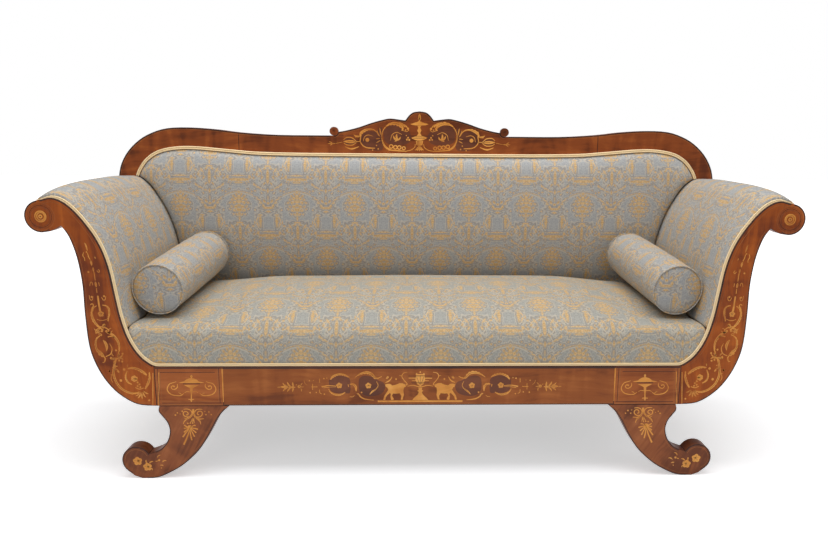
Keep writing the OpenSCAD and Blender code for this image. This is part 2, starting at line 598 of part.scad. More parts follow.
// The first stuffing lies in the cushion's hollow, on the hessian
stuffing_half = block_x - brace_leg / 3;
stuffing_y0 = front_y + front_rail_t;
stuffing_y1 = seat_y1 - front_rail_t;
module seat_stuffing() color(jute) translate([-stuffing_half, stuffing_y0, seat_base_z - soft_gap])
    cube([2 * stuffing_half, stuffing_y1 - stuffing_y0, seat_stuffing_h]);
web_x1 = block_x - tenon_t;
web_y0 = front_y + tenon_t;
web_y1 = back_y - tenon_t;
seat_web_count = 13;
seat_long_web_count = 5;
module seat_cross_webs() color(jute) for (k = [0 : seat_web_count - 1])
    translate([blend(-web_x1, web_x1 - web_w, k / (seat_web_count - 1)), web_y0, rail_top_z])
        cube([web_w, web_y1 - web_y0, web_t]);
module seat_long_webs() color(jute) for (k = [0 : seat_long_web_count - 1])
    translate([-web_x1, blend(web_y0, web_y1 - web_w, k / (seat_long_web_count - 1)), rail_top_z + web_t])
        cube([2 * web_x1, web_w, web_t]);
module seat_hessian() color(jute) translate([-web_x1, web_y0, rail_top_z + 2 * web_t])
    cube([2 * web_x1, web_y1 - web_y0, cloth_t]);

// Back cushion

// Clearance of the back cushion from the arm cushions and from the piping
cushion_gap = 2.4;
arm_top_z = max([for (i = [0 : crease_i]) arm_surface(i, arm_y1)[1]]) + cushion_gap;
function every_other(p) = [for (i = [0 : 2 : len(p) - 1]) p[i]];
cushion_top_edge = every_other([for (p = offset_curve(crest_edge, piping_w + cushion_gap / 2))
                                if (p[1] > arm_top_z && p[0] > 0) p]);
cushion_corner_x = cushion_top_edge[len(cushion_top_edge) - 1][0];
cushion_side_edge = [for (i = [0 : 2 : crease_i])
    let (p = inner_edge[i] + normal(inner_edge, i) * (arm_height(i) + cushion_gap))
        if (p[0] < cushion_corner_x) p];
cushion_low_z = stuffing_rail_z + stuffing_rail_h / 3;
low_steps = 7;
low_x = cushion_side_edge[len(cushion_side_edge) - 1][0] - cushion_gap;
back_low_edge = [for (k = [0 : low_steps - 1]) [low_x * k / low_steps, cushion_low_z]];
half_cushion = concat(back_low_edge, [[low_x, cushion_low_z]], reversed(cushion_side_edge),
                      reversed(cushion_top_edge));
cushion_outline = concat(half_cushion, [[0, crest_edge[0][1] - piping_w - cushion_gap / 2]],
    [for (p = reversed(part_of(half_cushion, 1, len(half_cushion) - 1))) [-p[0], p[1]]]);
spine_x = shoulder_joint_x * 1.1;
spine_z = blend(cushion_low_z, crest_under_z, 0.52);
function spine(p) = [max(-spine_x, min(spine_x, p[0])), spine_z];
// Rings of the back cushion: share of the way in to its spine, and share of its crown
back_ring_shares = [[0, 0.12], [0.012, 0.34], [0.04, 0.58], [0.09, 0.77], [0.18, 0.91], [0.34, 0.98],
                    [0.60, 1], [0.9, 1]];
function back_ring(s, y) = [for (p = cushion_outline) let (q = blend(p, spine(p), s)) [q[0], y, q[1]]];
// Depth of the hollow for the webs in the cushion's back, and share of the way in where it starts
back_web_t = 2 * web_t;
hollow_share = 0.01;
module back_cushion() color(brocade) {
    base = [back_ring(hollow_share * 1.2, back_frame_y - back_web_t - soft_gap),
            back_ring(hollow_share, back_frame_y - soft_gap), back_ring(0, back_frame_y - soft_gap)];
    crown = [for (s = back_ring_shares) back_ring(s[0], back_frame_y - s[1] * back_crown)];
    ringed(concat(base, crown), [0, back_frame_y - back_web_t - soft_gap, spine_z],
           [0, back_frame_y - back_crown, spine_z]);
}
back_web_count = 9;
back_web_z = stuffing_rail_z + stuffing_rail_h / 2;
back_web_x1 = shoulder_joint_x * 1.15;
module back_webbing() color(jute) slab(back_frame_y - web_t, back_frame_y)
    for (k = [0 : back_web_count - 1])
        translate([blend(-back_web_x1, back_web_x1 - web_w, k / (back_web_count - 1)), back_web_z])
            square([web_w, crest_under_z - piping_w - crest_rebate / 5 - back_web_z]);
// Cloth that closes the back, inside the frame
outside_back_shares = [[0, 0.002], [0.728, 0.002], [0.80, 0.14], [0.84, 0.42], [0.87, 0.66], [0.92, 0.82],
                       [0.93, 0.90], [0.88, 1.0], [0.60, 1.01], [0, 1.01]];
module outside_back_cloth() color(brocade) slab(back_frame_y + upright_t, back_frame_y + upright_t + cloth_t)
    for (s = [-1, 1]) scale([s, 1]) difference() {
        polygon([for (p = outside_back_shares) [p[0] * scroll_x, blend(rail_top_z, crest_under_z, p[1])]]);
        half_back_frame();
        arm_profile();
    }
module dust_cover() color(jute) translate([0, 0, leg_h - cloth_t]) linear_extrude(cloth_t) union() {
    translate([-leg_x + tenon_t, front_y + tenon_t]) square([2 * (leg_x - tenon_t), sofa_d - 2 * tenon_t]);
    translate([-web_x1, front_y + block_t]) square([2 * web_x1, sofa_d - 2 * block_t]);
}

// Double piping along the facings and the front rail, and along the back frame
function both_sides(p) = concat(p, [for (q = reversed(p)) [-q[0], q[1]]]);
module front_piping() color(cord_colour) slab(front_y, front_y + piping_t)
    polygon(strip(both_sides(inner_edge), soft_gap, piping_w));
back_piping_edge = reversed([for (p = crest_edge) if (p[1] > arm_top_z + piping_t && p[0] > 0) p]);
module back_piping() color(cord_colour) slab(back_frame_y - piping_t, back_frame_y)
    polygon(strip(both_sides(back_piping_edge), 0, -piping_w));

// Bolsters

// How far a bolster's middle lies inside the corner block's outer end
bolster_inset = 9;
// Gap between a bolster's back end and the back cushion
bolster_back_gap = 8.5;
// Middle of a bolster, and its lean: its back end is higher and nearer the middle of the sofa
bolster_c = [block_x - bolster_inset, seat_y1 - bolster_back_gap - bolster_l / 2,
             seat_z(block_x, 0) + bolster_r + soft_gap];
turn_angle = 3.2;
tilt_angle = 3.6;
module bolster_place() translate(bolster_c) rotate([0, 0, turn_angle]) rotate([tilt_angle - 90, 0, 0])
    children();
// Half profile of the case, as shares of radius and of half the length: end, seam, then barrel
case_end_shares = [[0, 1], [0.3, 0.998], [0.6, 0.991], [0.82, 0.978]];
seam_share = [0.93, 0.962];
case_barrel_shares = [[0.965, 0.92], [0.985, 0.80], [0.996, 0.55], [1, 0.25], [1, 0]];
function case_points(r, h) = [
    for (s = concat(case_end_shares, [seam_share], case_barrel_shares)) [s[0] * r, s[1] * h]];
function full_profile(r, h) = concat(case_points(r, h),
    [for (p = reversed(case_points(r, h))) if (p[1] > 0) [p[0], -p[1]]]);
case_half = bolster_l / 2 - welt_r;
module bolster_case() color(brocade) bolster_place() rotate_extrude() difference() {
    polygon(full_profile(bolster_r, case_half));
    polygon(full_profile(bolster_r - case_t, case_half - case_t));
}
module bolster_pad() color(jute) bolster_place() rotate_extrude()
    polygon(full_profile(bolster_r - case_t - soft_gap, case_half - case_t - soft_gap));
// Welt cords lie against the seams of the two ends
welt_out = (welt_r + soft_gap) * cos(45);
welt_sides = 24;
module bolster_welts() color(brocade) bolster_place() for (s = [-1, 1]) scale([1, 1, s]) rotate_extrude()
    translate([seam_share[0] * bolster_r + welt_out, seam_share[1] * case_half + welt_out])
        circle(r = welt_r, $fn = welt_sides);

front_seat_rail();
left() corner_block();  // left_corner_block
corner_block();  // right_corner_block
left() side_rail();  // left_side_rail
side_rail();  // right_side_rail
back_seat_rail();
cross_rails();
corner_braces();
brace_screws();
frame_dowels();
left() leg(front_y);  // left_front_leg
leg(front_y);  // right_front_leg
left() leg(back_y - leg_t);  // left_rear_leg
leg(back_y - leg_t);  // right_rear_leg
left() arm_facing();  // left_arm_facing
arm_facing();  // right_arm_facing
left() scroll_roundel();  // left_scroll_roundel
scroll_roundel();  // right_scroll_roundel
left() rear_post();  // left_rear_post
rear_post();  // right_rear_post
left() scroll_rail();  // left_scroll_rail
scroll_rail();  // right_scroll_rail
left() middle_arm_rail();  // left_middle_arm_rail
middle_arm_rail();  // right_middle_arm_rail
left() lower_arm_rail();  // left_lower_arm_rail
lower_arm_rail();  // right_lower_arm_rail
crest_rail();
left() shoulder();  // left_shoulder
shoulder();  // right_shoulder
cresting();
cresting_knobs();
back_stuffing_rail();
back_uprights();
seat_cross_webs();
seat_long_webs();
seat_hessian();
seat_stuffing();
seat_cushion();
back_webbing();
back_cushion();
outside_back_cloth();
dust_cover();
left() arm_webbing();  // left_arm_webbing
arm_webbing();  // right_arm_webbing
left() arm_stuffing();  // left_arm_stuffing
arm_stuffing();  // right_arm_stuffing
left() arm_cushion();  // left_arm_cushion
arm_cushion();  // right_arm_cushion
left() scroll_padding();  // left_scroll_padding
scroll_padding();  // right_scroll_padding
left() outside_arm_cloth();  // left_outside_arm_cloth
outside_arm_cloth();  // right_outside_arm_cloth
front_piping();
back_piping();
left() bolster_case();  // left_bolster_case
bolster_case();  // right_bolster_case
left() bolster_pad();  // left_bolster_pad
bolster_pad();  // right_bolster_pad
left() bolster_welts();  // left_bolster_welts
bolster_welts();  // right_bolster_welts
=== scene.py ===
import math
import bpy
import bmesh
import numpy as np
from mathutils import Matrix, Vector
from mathutils.geometry import tessellate_polygon


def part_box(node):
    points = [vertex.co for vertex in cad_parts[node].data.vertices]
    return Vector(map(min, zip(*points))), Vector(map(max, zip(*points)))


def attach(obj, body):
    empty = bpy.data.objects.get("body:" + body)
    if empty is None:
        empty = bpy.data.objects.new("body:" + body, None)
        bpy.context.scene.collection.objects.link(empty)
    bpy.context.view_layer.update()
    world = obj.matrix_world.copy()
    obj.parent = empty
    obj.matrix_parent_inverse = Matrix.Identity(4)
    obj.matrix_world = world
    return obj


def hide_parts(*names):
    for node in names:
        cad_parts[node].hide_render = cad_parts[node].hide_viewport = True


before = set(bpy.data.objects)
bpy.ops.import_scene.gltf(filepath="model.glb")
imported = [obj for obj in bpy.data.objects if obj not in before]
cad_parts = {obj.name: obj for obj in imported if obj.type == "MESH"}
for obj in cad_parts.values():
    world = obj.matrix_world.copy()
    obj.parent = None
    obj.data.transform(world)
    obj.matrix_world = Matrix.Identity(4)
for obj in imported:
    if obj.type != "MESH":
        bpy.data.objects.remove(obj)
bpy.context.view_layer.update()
MM = 0.001

# Main places of the solids, in mm
LEG_H = 228
SCROLL_X, SCROLL_Z, SCROLL_R = 1055, 784, 45
SCROLL_RAIL_R, SCROLL_WEB_DEPTH = 34, 20
BLOCK_X, RAIL_X, ARM_REACH = 772, 577, 283
FRONT_Y, BACK_FRAME_Y, FACING_BACK_Y = -320, 280, -275
RAIL_TOP_Z, CREST_UNDER_Z = 348, 945
CREST_REBATE, UPRIGHT_T = 24, 32
KNOB_W = 14
ARM_RISE = SCROLL_Z - LEG_H
PIPING_W, PIPING_T = 12, 6
SOFT_GAP = 0.3


# Curves in the front view, as arrays of (x, z) in mm

def smooth(points, n):
    """A curve through the points, with n steps between each two."""
    p = np.array(points, float)
    out = []
    for i in range(len(p) - 1):
        p0, p1, p2, p3 = p[max(i - 1, 0)], p[i], p[i + 1], p[min(i + 2, len(p) - 1)]
        for k in range(n):
            t = k / n
            out.append(0.5 * (2 * p1 + (p2 - p0) * t + (2 * p0 - 5 * p1 + 4 * p2 - p3) * t * t
                              + (3 * p1 - p0 - 3 * p2 + p3) * t ** 3))
    return np.array(out + [p[-1]])


def arc(c, r, a0, a1, n):
    a = np.radians(np.linspace(a0, a1, n + 1))
    return np.array(c) + r * np.stack([np.cos(a), np.sin(a)], 1)


def normals(p):
    """Unit vectors to the right hand of a run along the points."""
    d = np.gradient(p, axis=0)
    d /= np.maximum(np.linalg.norm(d, axis=1, keepdims=True), 1e-9)
    return np.stack([d[:, 1], -d[:, 0]], 1)


def offset(p, d):
    return p + normals(p) * d


def lengths(p):
    return np.concatenate([[0], np.cumsum(np.linalg.norm(np.diff(p, axis=0), axis=1))])


def resample(p, n):
    s = lengths(p)
    t = np.linspace(0, s[-1], n)
    return np.stack([np.interp(t, s, p[:, k]) for k in range(p.shape[1])], 1)


# The arm's edges, in shares of its reach and rise
OUTER = [[0, 0], [0.20, 0.010], [0.38, 0.068], [0.51, 0.149], [0.60, 0.248], [0.641, 0.345],
         [0.654, 0.500], [0.654, 0.652], [0.684, 0.790], [0.742, 0.895], [0.81, 0.952]]
INNER = [[0.88, 1.093], [0.76, 1.067], [0.645, 1.010], [0.52, 0.920], [0.438, 0.835],
         [0.382, 0.734], [0.345, 0.607], [0.304, 0.475], [0.236, 0.357], [0.13, 0.268]]
# The crest's under edge, in shares of the scroll's distance and of the height over it
CREST_EDGE = [[0, 1.003], [0.13, 1.003], [0.268, 1.003], [0.4076, 1.006], [0.540, 1.022],
              [0.6095, 1.056], [0.678, 1.095], [0.744, 1.130], [0.8057, 1.130], [0.867, 1.060],
              [0.908, 0.920], [0.937, 0.715], [0.9555, 0.46], [0.958, 0.068]]
SCROLL_C = (SCROLL_X, SCROLL_Z)


def arm_points(shares):
    return [[BLOCK_X + s[0] * ARM_REACH, LEG_H + s[1] * ARM_RISE] for s in shares]


def inner_curve(n):
    start = arc(SCROLL_C, SCROLL_R, 80, 92, 1).tolist()
    return smooth(start + arm_points(INNER) + [[BLOCK_X, RAIL_TOP_Z]], n)


# Steps between two points of a curve: here, and in the solids
FINE = 12
COARSE = 4
INNER_EDGE = inner_curve(FINE)
OUTER_EDGE = smooth(arm_points(OUTER), FINE)
# Where the arm's cushion meets the seat's crease
CREASE_Z = LEG_H + 0.375 * ARM_RISE
CREASE_I = max(i for i, p in enumerate(inner_curve(COARSE)) if p[1] > CREASE_Z) * FINE // COARSE
CREST_LINE = smooth([[s[0] * SCROLL_X, SCROLL_Z + s[1] * (CREST_UNDER_Z - SCROLL_Z)]
                     for s in CREST_EDGE], FINE)


# Shader nodes

def lin(colour):
    return tuple([(c / 255 / 12.92) if c <= 10 else ((c / 255 + 0.055) / 1.055) ** 2.4
                  for c in colour] + [1.0])


class Tree:
    """Adds nodes to a tree; each call returns the new node's first output."""

    def __init__(self, tree):
        self.tree = tree

    def put(self, value, socket):
        if hasattr(value, "is_linked"):
            self.tree.links.new(value, socket)
        elif value is not None:
            socket.default_value = value

    def node(self, kind, values=(), out=0, **settings):
        n = self.tree.nodes.new(kind)
        for k, v in settings.items():
            setattr(n, k, v)
        for key, value in dict(values).items():
            self.put(value, n.inputs[key])
        return n.outputs[out]

    def math(self, op, a, b=None, c=None):
        values = {i: v for i, v in enumerate((a, b, c)) if v is not None}
        return self.node("ShaderNodeMath", values, operation=op)

    def vec(self, op, a, b=None, out=0):
        values = {0: a}
        if b is not None:
            values[1] = b
        return self.node("ShaderNodeVectorMath", values, out, operation=op)

    def xyz(self, x, y, z=0.0):
        return self.node("ShaderNodeCombineXYZ", {0: x, 1: y, 2: z})

    def parts(self, v):
        n = self.tree.nodes.new("ShaderNodeSeparateXYZ")
        self.put(v, n.inputs[0])
        return n.outputs

    def noise(self, v, scale, detail=2.0, rough=0.5, distort=0.0):
        return self.node("ShaderNodeTexNoise", {"Vector": v, "Scale": scale, "Detail": detail,
                         "Roughness": rough, "Distortion": distort})

    def step(self, v, lo, hi, a=0.0, b=1.0):
        return self.node("ShaderNodeMapRange", {0: v, 1: lo, 2: hi, 3: a, 4: b},
                         interpolation_type="SMOOTHSTEP")

    def mix(self, t, a, b):
        n = self.tree.nodes.new("ShaderNodeMix")
        n.data_type = "RGBA"
        for value, key in ((t, 0), (a, 6), (b, 7)):
            self.put(value, n.inputs[key])
        return n.outputs[2]

    def scaled(self, v, loc=(0, 0, 0), rot=(0, 0, 0), scale=(1, 1, 1), kind="POINT"):
        return self.node("ShaderNodeMapping", {0: v, 1: loc, 2: rot, 3: scale}, vector_type=kind)

    def bump(self, height, strength, distance, normal=None):
        values = {"Strength": strength, "Distance": distance, "Height": height}
        if normal is not None:
            values["Normal"] = normal
        return self.node("ShaderNodeBump", values)


def material(name, **principled):
    m = bpy.data.materials.new(name)
    m.use_nodes = True
    t = Tree(m.node_tree)
    shader = m.node_tree.nodes["Principled BSDF"]
    for key, value in principled.items():
        shader.inputs[key.replace("_", " ")].default_value = value
    return m, t, shader


def place(t):
    return t.node("ShaderNodeTexCoord", out=3)


def wood(name, grain, light, base, dark, figure=0.35, coat=0.09):
    """French-polished veneer. grain is the turn about Y, in degrees, from grain along X."""
    m, t, shader = material(name, Coat_Weight=coat, Coat_Roughness=0.16, Specular_IOR_Level=0.15)
    v = t.scaled(place(t), rot=(0, math.radians(grain), 0))
    drift = t.noise(t.scaled(v, scale=(2, 3, 3)), 1.3, 2)
    sway = t.math("MULTIPLY", drift, 0.12)
    shifted = t.vec("ADD", v, t.xyz(0.0, sway, sway))
    broad = t.noise(t.scaled(shifted, scale=(1.4, 11, 11)), 1.0, 3, 0.55, 0.6)
    fine = t.noise(t.scaled(shifted, scale=(5, 70, 70)), 1.0, 3, 0.6, 0.2)
    pores = t.noise(t.scaled(shifted, scale=(45, 700, 700)), 1.0, 2, 0.6)
    flame = t.noise(t.scaled(v, scale=(9, 2.2, 2.2)), 1.0, 2, 0.5, 1.8)
    tone = t.math("ADD", t.math("MULTIPLY", broad, 0.55), t.math("MULTIPLY", fine, 0.3))
    tone = t.math("ADD", tone, t.math("MULTIPLY", flame, figure))
    tone = t.step(tone, 0.30 + figure * 0.35, 0.60 + figure * 0.65)
    colour = t.mix(t.step(tone, 0.0, 0.5), lin(dark), lin(base))
    colour = t.mix(t.step(tone, 0.5, 1.0), colour, lin(light))
    colour = t.mix(t.step(pores, 0.60, 0.75, 0.0, 0.35), colour, lin(dark))
    t.put(colour, shader.inputs["Base Color"])
    t.put(t.step(fine, 0.2, 0.8, 0.36, 0.46), shader.inputs["Roughness"])
    t.put(t.bump(pores, 0.05, 0.0004), shader.inputs["Normal"])
    return m


# Light, middle and dark tones
RED = ((174, 102, 50), (150, 82, 38), (114, 58, 27))
ORANGE = ((183, 95, 31), (157, 76, 22), (114, 50, 17))
DEEP = ((164, 88, 38), (137, 68, 28), (95, 45, 19))
PALE = ((206, 176, 130), (190, 156, 108), (160, 124, 82))
WOOD_X = wood("polished_wood_rail", 0, *RED)
WOOD_Z = wood("polished_wood_upright", 90, *ORANGE)
WOOD_LEG = wood("polished_wood_leg", 62, (170, 102, 60), (145, 82, 47), (107, 58, 35))
WOOD_CREST = wood("polished_wood_crest", 0, *DEEP, figure=0.5)
WOOD_BLOCK = wood("polished_wood_block", 0, (184, 106, 54), (166, 91, 43), (134, 68, 31),
                  figure=0.2)
# Dark wood for inlaid lines, and on the bevels, where it is partly painted edge shade
WOOD_DARK = wood("dark_line_and_edge_shade", 0, (84, 46, 30), (66, 35, 23), (46, 24, 17), coat=0.3)
BOXWOOD = wood("boxwood_inlay", 20, (240, 172, 86), (224, 150, 66), (196, 120, 46),
               figure=0.5, coat=0.2)
INLAY_GROUND = wood("shaded_inlay_ground", 0, (126, 72, 46), (109, 60, 38), (89, 47, 31), coat=0.2)
# Light lines: inlaid stringing, and along the edges a painted highlight
STRINGING_AND_HIGHLIGHT = wood("stringing_and_edge_highlight", 0, (178, 112, 60), (162, 98, 50), (140, 80, 38), coat=0.2)
PINE = wood("plain_inner_wood", 0, *PALE, figure=0.2, coat=0.0)
PINE_Z = wood("plain_upright_wood", 90, *PALE, figure=0.2, coat=0.0)


# Woven pattern: a tile is 204 mm across and 410 mm long, in half-drop, and each column is mirrored.
COLUMN = 102
PERIOD = 410
# Gold ellipses: middle (x, y down), half axes, turn in degrees
BLOBS = [
    # Basket with a crown of leaves
    (0, 8, 2.6, 9, 0), (13, 20, 3.4, 8, 28), (0, 27, 5, 5, 0), (0, 44, 20, 4.6, 0), (18, 36, 3.6, 6, 20),
    (0, 57, 9, 3.6, 0), (27, 26, 3, 5, 45), (36, 12, 5, 2.4, -20),
    # Window between two uprights, on a boat-shaped plate
    (29, 94, 5.2, 23, 0), (29, 70, 8, 3, 0), (39, 84, 2.2, 9, -25), (39, 107, 2.2, 9, 25), (50, 98, 4, 6, 0),
    (0, 132, 24, 2.6, 0), (0, 146, 38, 6, 0), (38, 136, 6, 5, -40), (0, 157, 15, 3.6, 0), (51, 128, 3.5, 5, 0),
    # Bouquet with its stem
    (0, 192, 3, 6, 0), (9, 199, 3.4, 7, 22), (19, 206, 3.4, 6, 40), (0, 210, 7, 8, 0), (12, 215, 6, 6, 0),
    (24, 219, 5, 5, 0), (31, 230, 4, 6, -60), (4, 226, 7, 6, 0), (17, 230, 6, 6, 0), (0, 240, 8, 6, 0),
    (12, 245, 7, 6, 30), (26, 244, 5, 5, -30), (32, 254, 5, 3, -35), (4, 256, 7, 7, 0), (17, 258, 6, 5, -30),
    (0, 272, 5, 8, 0), (10, 273, 6, 3.4, -50), (0, 287, 3, 8, 0), (21, 272, 4, 3, -40),
    # Bar and leaves under it
    (0, 303, 12, 3.4, 0), (11, 312, 7, 2.6, 35), (0, 339, 5.6, 27, 0), (26, 318, 3, 9, 30),
    (20, 344, 3, 8, -25), (38, 332, 6, 3, 40), (12, 366, 6, 2.6, 40), (47, 316, 4, 4, 0),
    (50, 345, 3, 6, 0),
    # Swags, which meet the next columns' plates
    (50, 368, 12, 4.2, -30), (32, 380, 10, 3.2, -22), (14, 389, 8, 3, -14), (0, 393, 3.4, 8, 0),
    (22, 400, 3, 3, 0), (45, 392, 3.4, 3.4, 0), (47, 52, 3, 3, 0), (45, 190, 3.4, 3.4, 0),
    (33, 180, 2.6, 2.6, 0),
]
# Threads along circles, gold first, then pale: middle, radius, half width, reach down the tile
GOLD_RINGS = [(0, 289, 100, 1.2, 180, 216), (102, 84, 100, 1.2, -40, 44), (44, 150, 10, 1.1, 138, 158),
              (30, 330, 10, 1.1, 318, 341), (0, 170, 30, 1.0, 150, 166)]
PALE_RINGS = [(0, 289, 95, 1.5, 180, 214), (0, 94, 42, 1.5, 62, 124), (51, 98, 11, 1.4, 80, 116),
              (0, 336, 31, 1.5, 304, 366), (51, 334, 17, 1.4, 310, 358), (0, 34, 33, 1.4, 8, 40),
              (0, 390, 24, 1.4, 372, 404)]


def rings_field(t, y, q, rings):
    """Distance in mm from the nearest of some ring threads."""
    field = None
    for cx, cy, r, w, first, last in rings:
        d = t.math("SUBTRACT", t.vec("DISTANCE", q, (cx, cy, 0), out=1), r)
        d = t.math("SUBTRACT", t.math("ABSOLUTE", d), w)
        past = t.math("MAXIMUM", t.math("SUBTRACT", y, last), t.math("SUBTRACT", first, y))
        d = t.math("MAXIMUM", d, past)
        field = d if field is None else t.math("MINIMUM", field, d)
    return field


def pattern_group():
    g = bpy.data.node_groups.new("brocade_pattern", "ShaderNodeTree")
    g.interface.new_socket(name="Cloth", in_out="INPUT", socket_type="NodeSocketVector")
    for name in ("Gold", "Tone", "Pale", "Shade"):
        g.interface.new_socket(name=name, in_out="OUTPUT", socket_type="NodeSocketFloat")
    t = Tree(g)
    start = g.nodes.new("NodeGroupInput")
    end = g.nodes.new("NodeGroupOutput")
    x, y, _ = t.parts(start.outputs[0])
    x = t.math("PINGPONG", x, COLUMN)
    far = t.math("GREATER_THAN", x, COLUMN / 2)
    back = t.math("SUBTRACT", COLUMN, t.math("MULTIPLY", x, 2))
    x = t.math("ADD", x, t.math("MULTIPLY", far, back))
    y = t.math("ADD", y, t.math("MULTIPLY", far, PERIOD / 2))
    y = t.math("FLOORED_MODULO", y, PERIOD)
    flat = t.xyz(x, y)
    wobble = t.noise(flat, 0.14, 1)
    wob = t.math("MULTIPLY", t.math("SUBTRACT", wobble, 0.5), 4.0)
    q = t.vec("ADD", flat, t.xyz(wob, wob))
    field = rings_field(t, y, q, GOLD_RINGS)
    for cx, cy, a, b, turn in BLOBS:
        local = t.scaled(q, (cx, cy, 0), (0, 0, math.radians(turn)), (a, b, 1), "TEXTURE")
        d = t.math("MULTIPLY", t.math("SUBTRACT", t.vec("LENGTH", local, out=1), 1), min(a, b))
        field = t.math("MINIMUM", field, d)
    grain = t.noise(flat, 0.34, 1, 0.6)
    field = t.math("ADD", field, t.math("MULTIPLY", t.math("SUBTRACT", grain, 0.5), 4.0))
    curl = t.noise(flat, 0.21, 1, 0.55, 1.0)
    vein = t.step(t.math("ABSOLUTE", t.math("SUBTRACT", curl, 0.5)), 0.01, 0.07, 0.45, 1.0)
    solid = t.math("MULTIPLY", t.step(field, 1.3, -1.3), vein)
    specks = t.math("MULTIPLY", t.step(grain, 0.60, 0.66), t.step(field, 9.0, 6.0, 0.0, 0.7))
    # Painted shadow: a dark band on the ground just outside the gold figure's edge
    painted_shadow = t.step(t.math("ABSOLUTE", t.math("SUBTRACT", field, 2.9)), 1.6, 0.4)
    pale = t.step(rings_field(t, y, q, PALE_RINGS), 1.0, -0.6)
    echo = t.step(t.math("ABSOLUTE", t.math("SUBTRACT", field, 5.6)), 1.5, 0.5, 0.0, 0.75)
    values = (t.math("MAXIMUM", solid, specks), t.step(curl, 0.3, 0.7),
              t.math("MAXIMUM", pale, echo), painted_shadow)
    for value, socket in zip(values, end.inputs):
        g.links.new(value, socket)
    return g


PATTERN = pattern_group()
# Dark and light tones. The seat is seen at a flat angle, and its satin is tinted warmer there as a painted
# sheen of the gold weft.
GREY_SATIN = ((152, 153, 154), (174, 174, 172))
SEAT_SHEEN_SATIN = ((150, 149, 143), (172, 170, 161))


def brocade(name, shift, satin=GREY_SATIN):
    """Satin with a gold figure. shift moves the pattern over the cloth, in mm."""
    m, t, shader = material(name, Sheen_Weight=0.1, Sheen_Roughness=0.45, Specular_IOR_Level=0.25)
    shader.inputs["Sheen Tint"].default_value = lin((230, 225, 215))
    uv = t.node("ShaderNodeUVMap", uv_map="cloth")
    cloth = t.scaled(uv, loc=(shift[0], shift[1], 0), scale=(1000, 1000, 1))
    group = t.tree.nodes.new("ShaderNodeGroup")
    group.node_tree = PATTERN
    t.put(cloth, group.inputs[0])
    gold, tone, pale, painted_shadow = group.outputs
    ground = t.mix(tone, lin(satin[0]), lin(satin[1]))
    figure = t.mix(tone, lin((191, 152, 94)), lin((220, 183, 125)))
    # Painted shadow darkens the ground beside the gold figure
    ground = t.mix(t.math("MULTIPLY", painted_shadow, 0.5), ground, lin((136, 128, 120)))
    ground = t.mix(t.math("MULTIPLY", pale, 0.6), ground, lin((206, 194, 172)))
    colour = t.mix(gold, ground, figure)
    t.put(colour, shader.inputs["Base Color"])
    t.put(t.step(gold, 0.0, 1.0, 0.58, 0.68), shader.inputs["Roughness"])
    wave = t.math("SINE", t.math("MULTIPLY", t.parts(cloth)[1], 4.2))
    rib = t.math("MULTIPLY", t.math("ADD", wave, 1), 0.15)
    t.put(t.bump(rib, 0.2, 0.0005), shader.inputs["Normal"])
    return m


SEAT_CLOTH = brocade("brocade_seat", (144, -26), SEAT_SHEEN_SATIN)
BACK_CLOTH = brocade("brocade_back", (128, 5))
ARM_CLOTH = brocade("brocade_arm", (20, 30))
BOLSTER_CLOTH = brocade("brocade_bolster", (0, 0))


def cord_cloth():
    m, t, shader = material("piping_cord", Sheen_Weight=0.2, Roughness=0.6)
    v = place(t)
    twill = t.noise(v, 900.0, 2)
    soft = t.noise(v, 25.0, 2)
    colour = t.mix(soft, lin((248, 216, 164)), lin((255, 232, 186)))
    colour = t.mix(t.step(twill, 0.4, 0.7, 0.0, 0.3), colour, lin((226, 188, 132)))
    t.put(colour, shader.inputs["Base Color"])
    t.put(t.bump(twill, 0.3, 0.0003), shader.inputs["Normal"])
    return m


CORD = cord_cloth()


def rough_cloth(name, a, b, scale):
    m, t, shader = material(name, Roughness=0.9)
    v = place(t)
    warp, weft = (t.node("ShaderNodeTexWave", {"Vector": v, "Scale": scale, "Distortion": 1.0},
                         bands_direction=way) for way in "XY")
    both = t.math("MULTIPLY", warp, weft)
    t.put(t.mix(both, lin(a), lin(b)), shader.inputs["Base Color"])
    t.put(t.bump(both, 0.4, 0.0006), shader.inputs["Normal"])
    return m


JUTE = rough_cloth("jute", (150, 122, 82), (196, 166, 118), 160.0)
DUST_CLOTH = rough_cloth("dust_cloth", (58, 54, 50), (86, 80, 74), 260.0)


def steel():
    m, t, shader = material("screw_steel", Metallic=1.0, Roughness=0.4)
    colour = t.mix(t.noise(place(t), 300.0), lin((120, 116, 108)), lin((170, 166, 158)))
    t.put(colour, shader.inputs["Base Color"])
    return m


STEEL = steel()


# Meshes

SHARP = math.radians(46)


def linked(name, me, body="frame"):
    """A new piece of the scene, which moves with a body."""
    ob = bpy.data.objects.new(name, me)
    bpy.context.scene.collection.objects.link(ob)
    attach(ob, body)
    return ob


def turn_out(me):
    """Turns the faces of a mesh outward."""
    bm = bmesh.new()
    bm.from_mesh(me)
    bmesh.ops.recalc_face_normals(bm, faces=bm.faces)
    bm.to_mesh(me)
    bm.free()


def mark_sharp(bm):
    for e in bm.edges:
        e.smooth = len(e.link_faces) != 2 or e.calc_face_angle(0) < SHARP


def lay_cloth(me, places):
    """Gives each corner of each face its vertex's place on the cloth, in m."""
    index = np.zeros(len(me.loops), np.int32)
    me.loops.foreach_get("vertex_index", index)
    layer = me.uv_layers.new(name="cloth")
    layer.uv.foreach_set("vector", places[index].astype(np.float32).ravel())


def add_piece(name, verts, faces, mat, body="frame", cloth=None, flat_shade=False):
    """verts, and the place of each on the cloth, in mm."""
    me = bpy.data.meshes.new(name)
    me.from_pydata((np.array(verts, float) * MM).tolist(), [], [tuple(f) for f in faces])
    me.validate(clean_customdata=False)
    me.materials.append(mat)
    if cloth is not None:
        lay_cloth(me, np.array(cloth, float) * MM)
    if not flat_shade:
        me.shade_smooth()
    return linked(name, me, body)


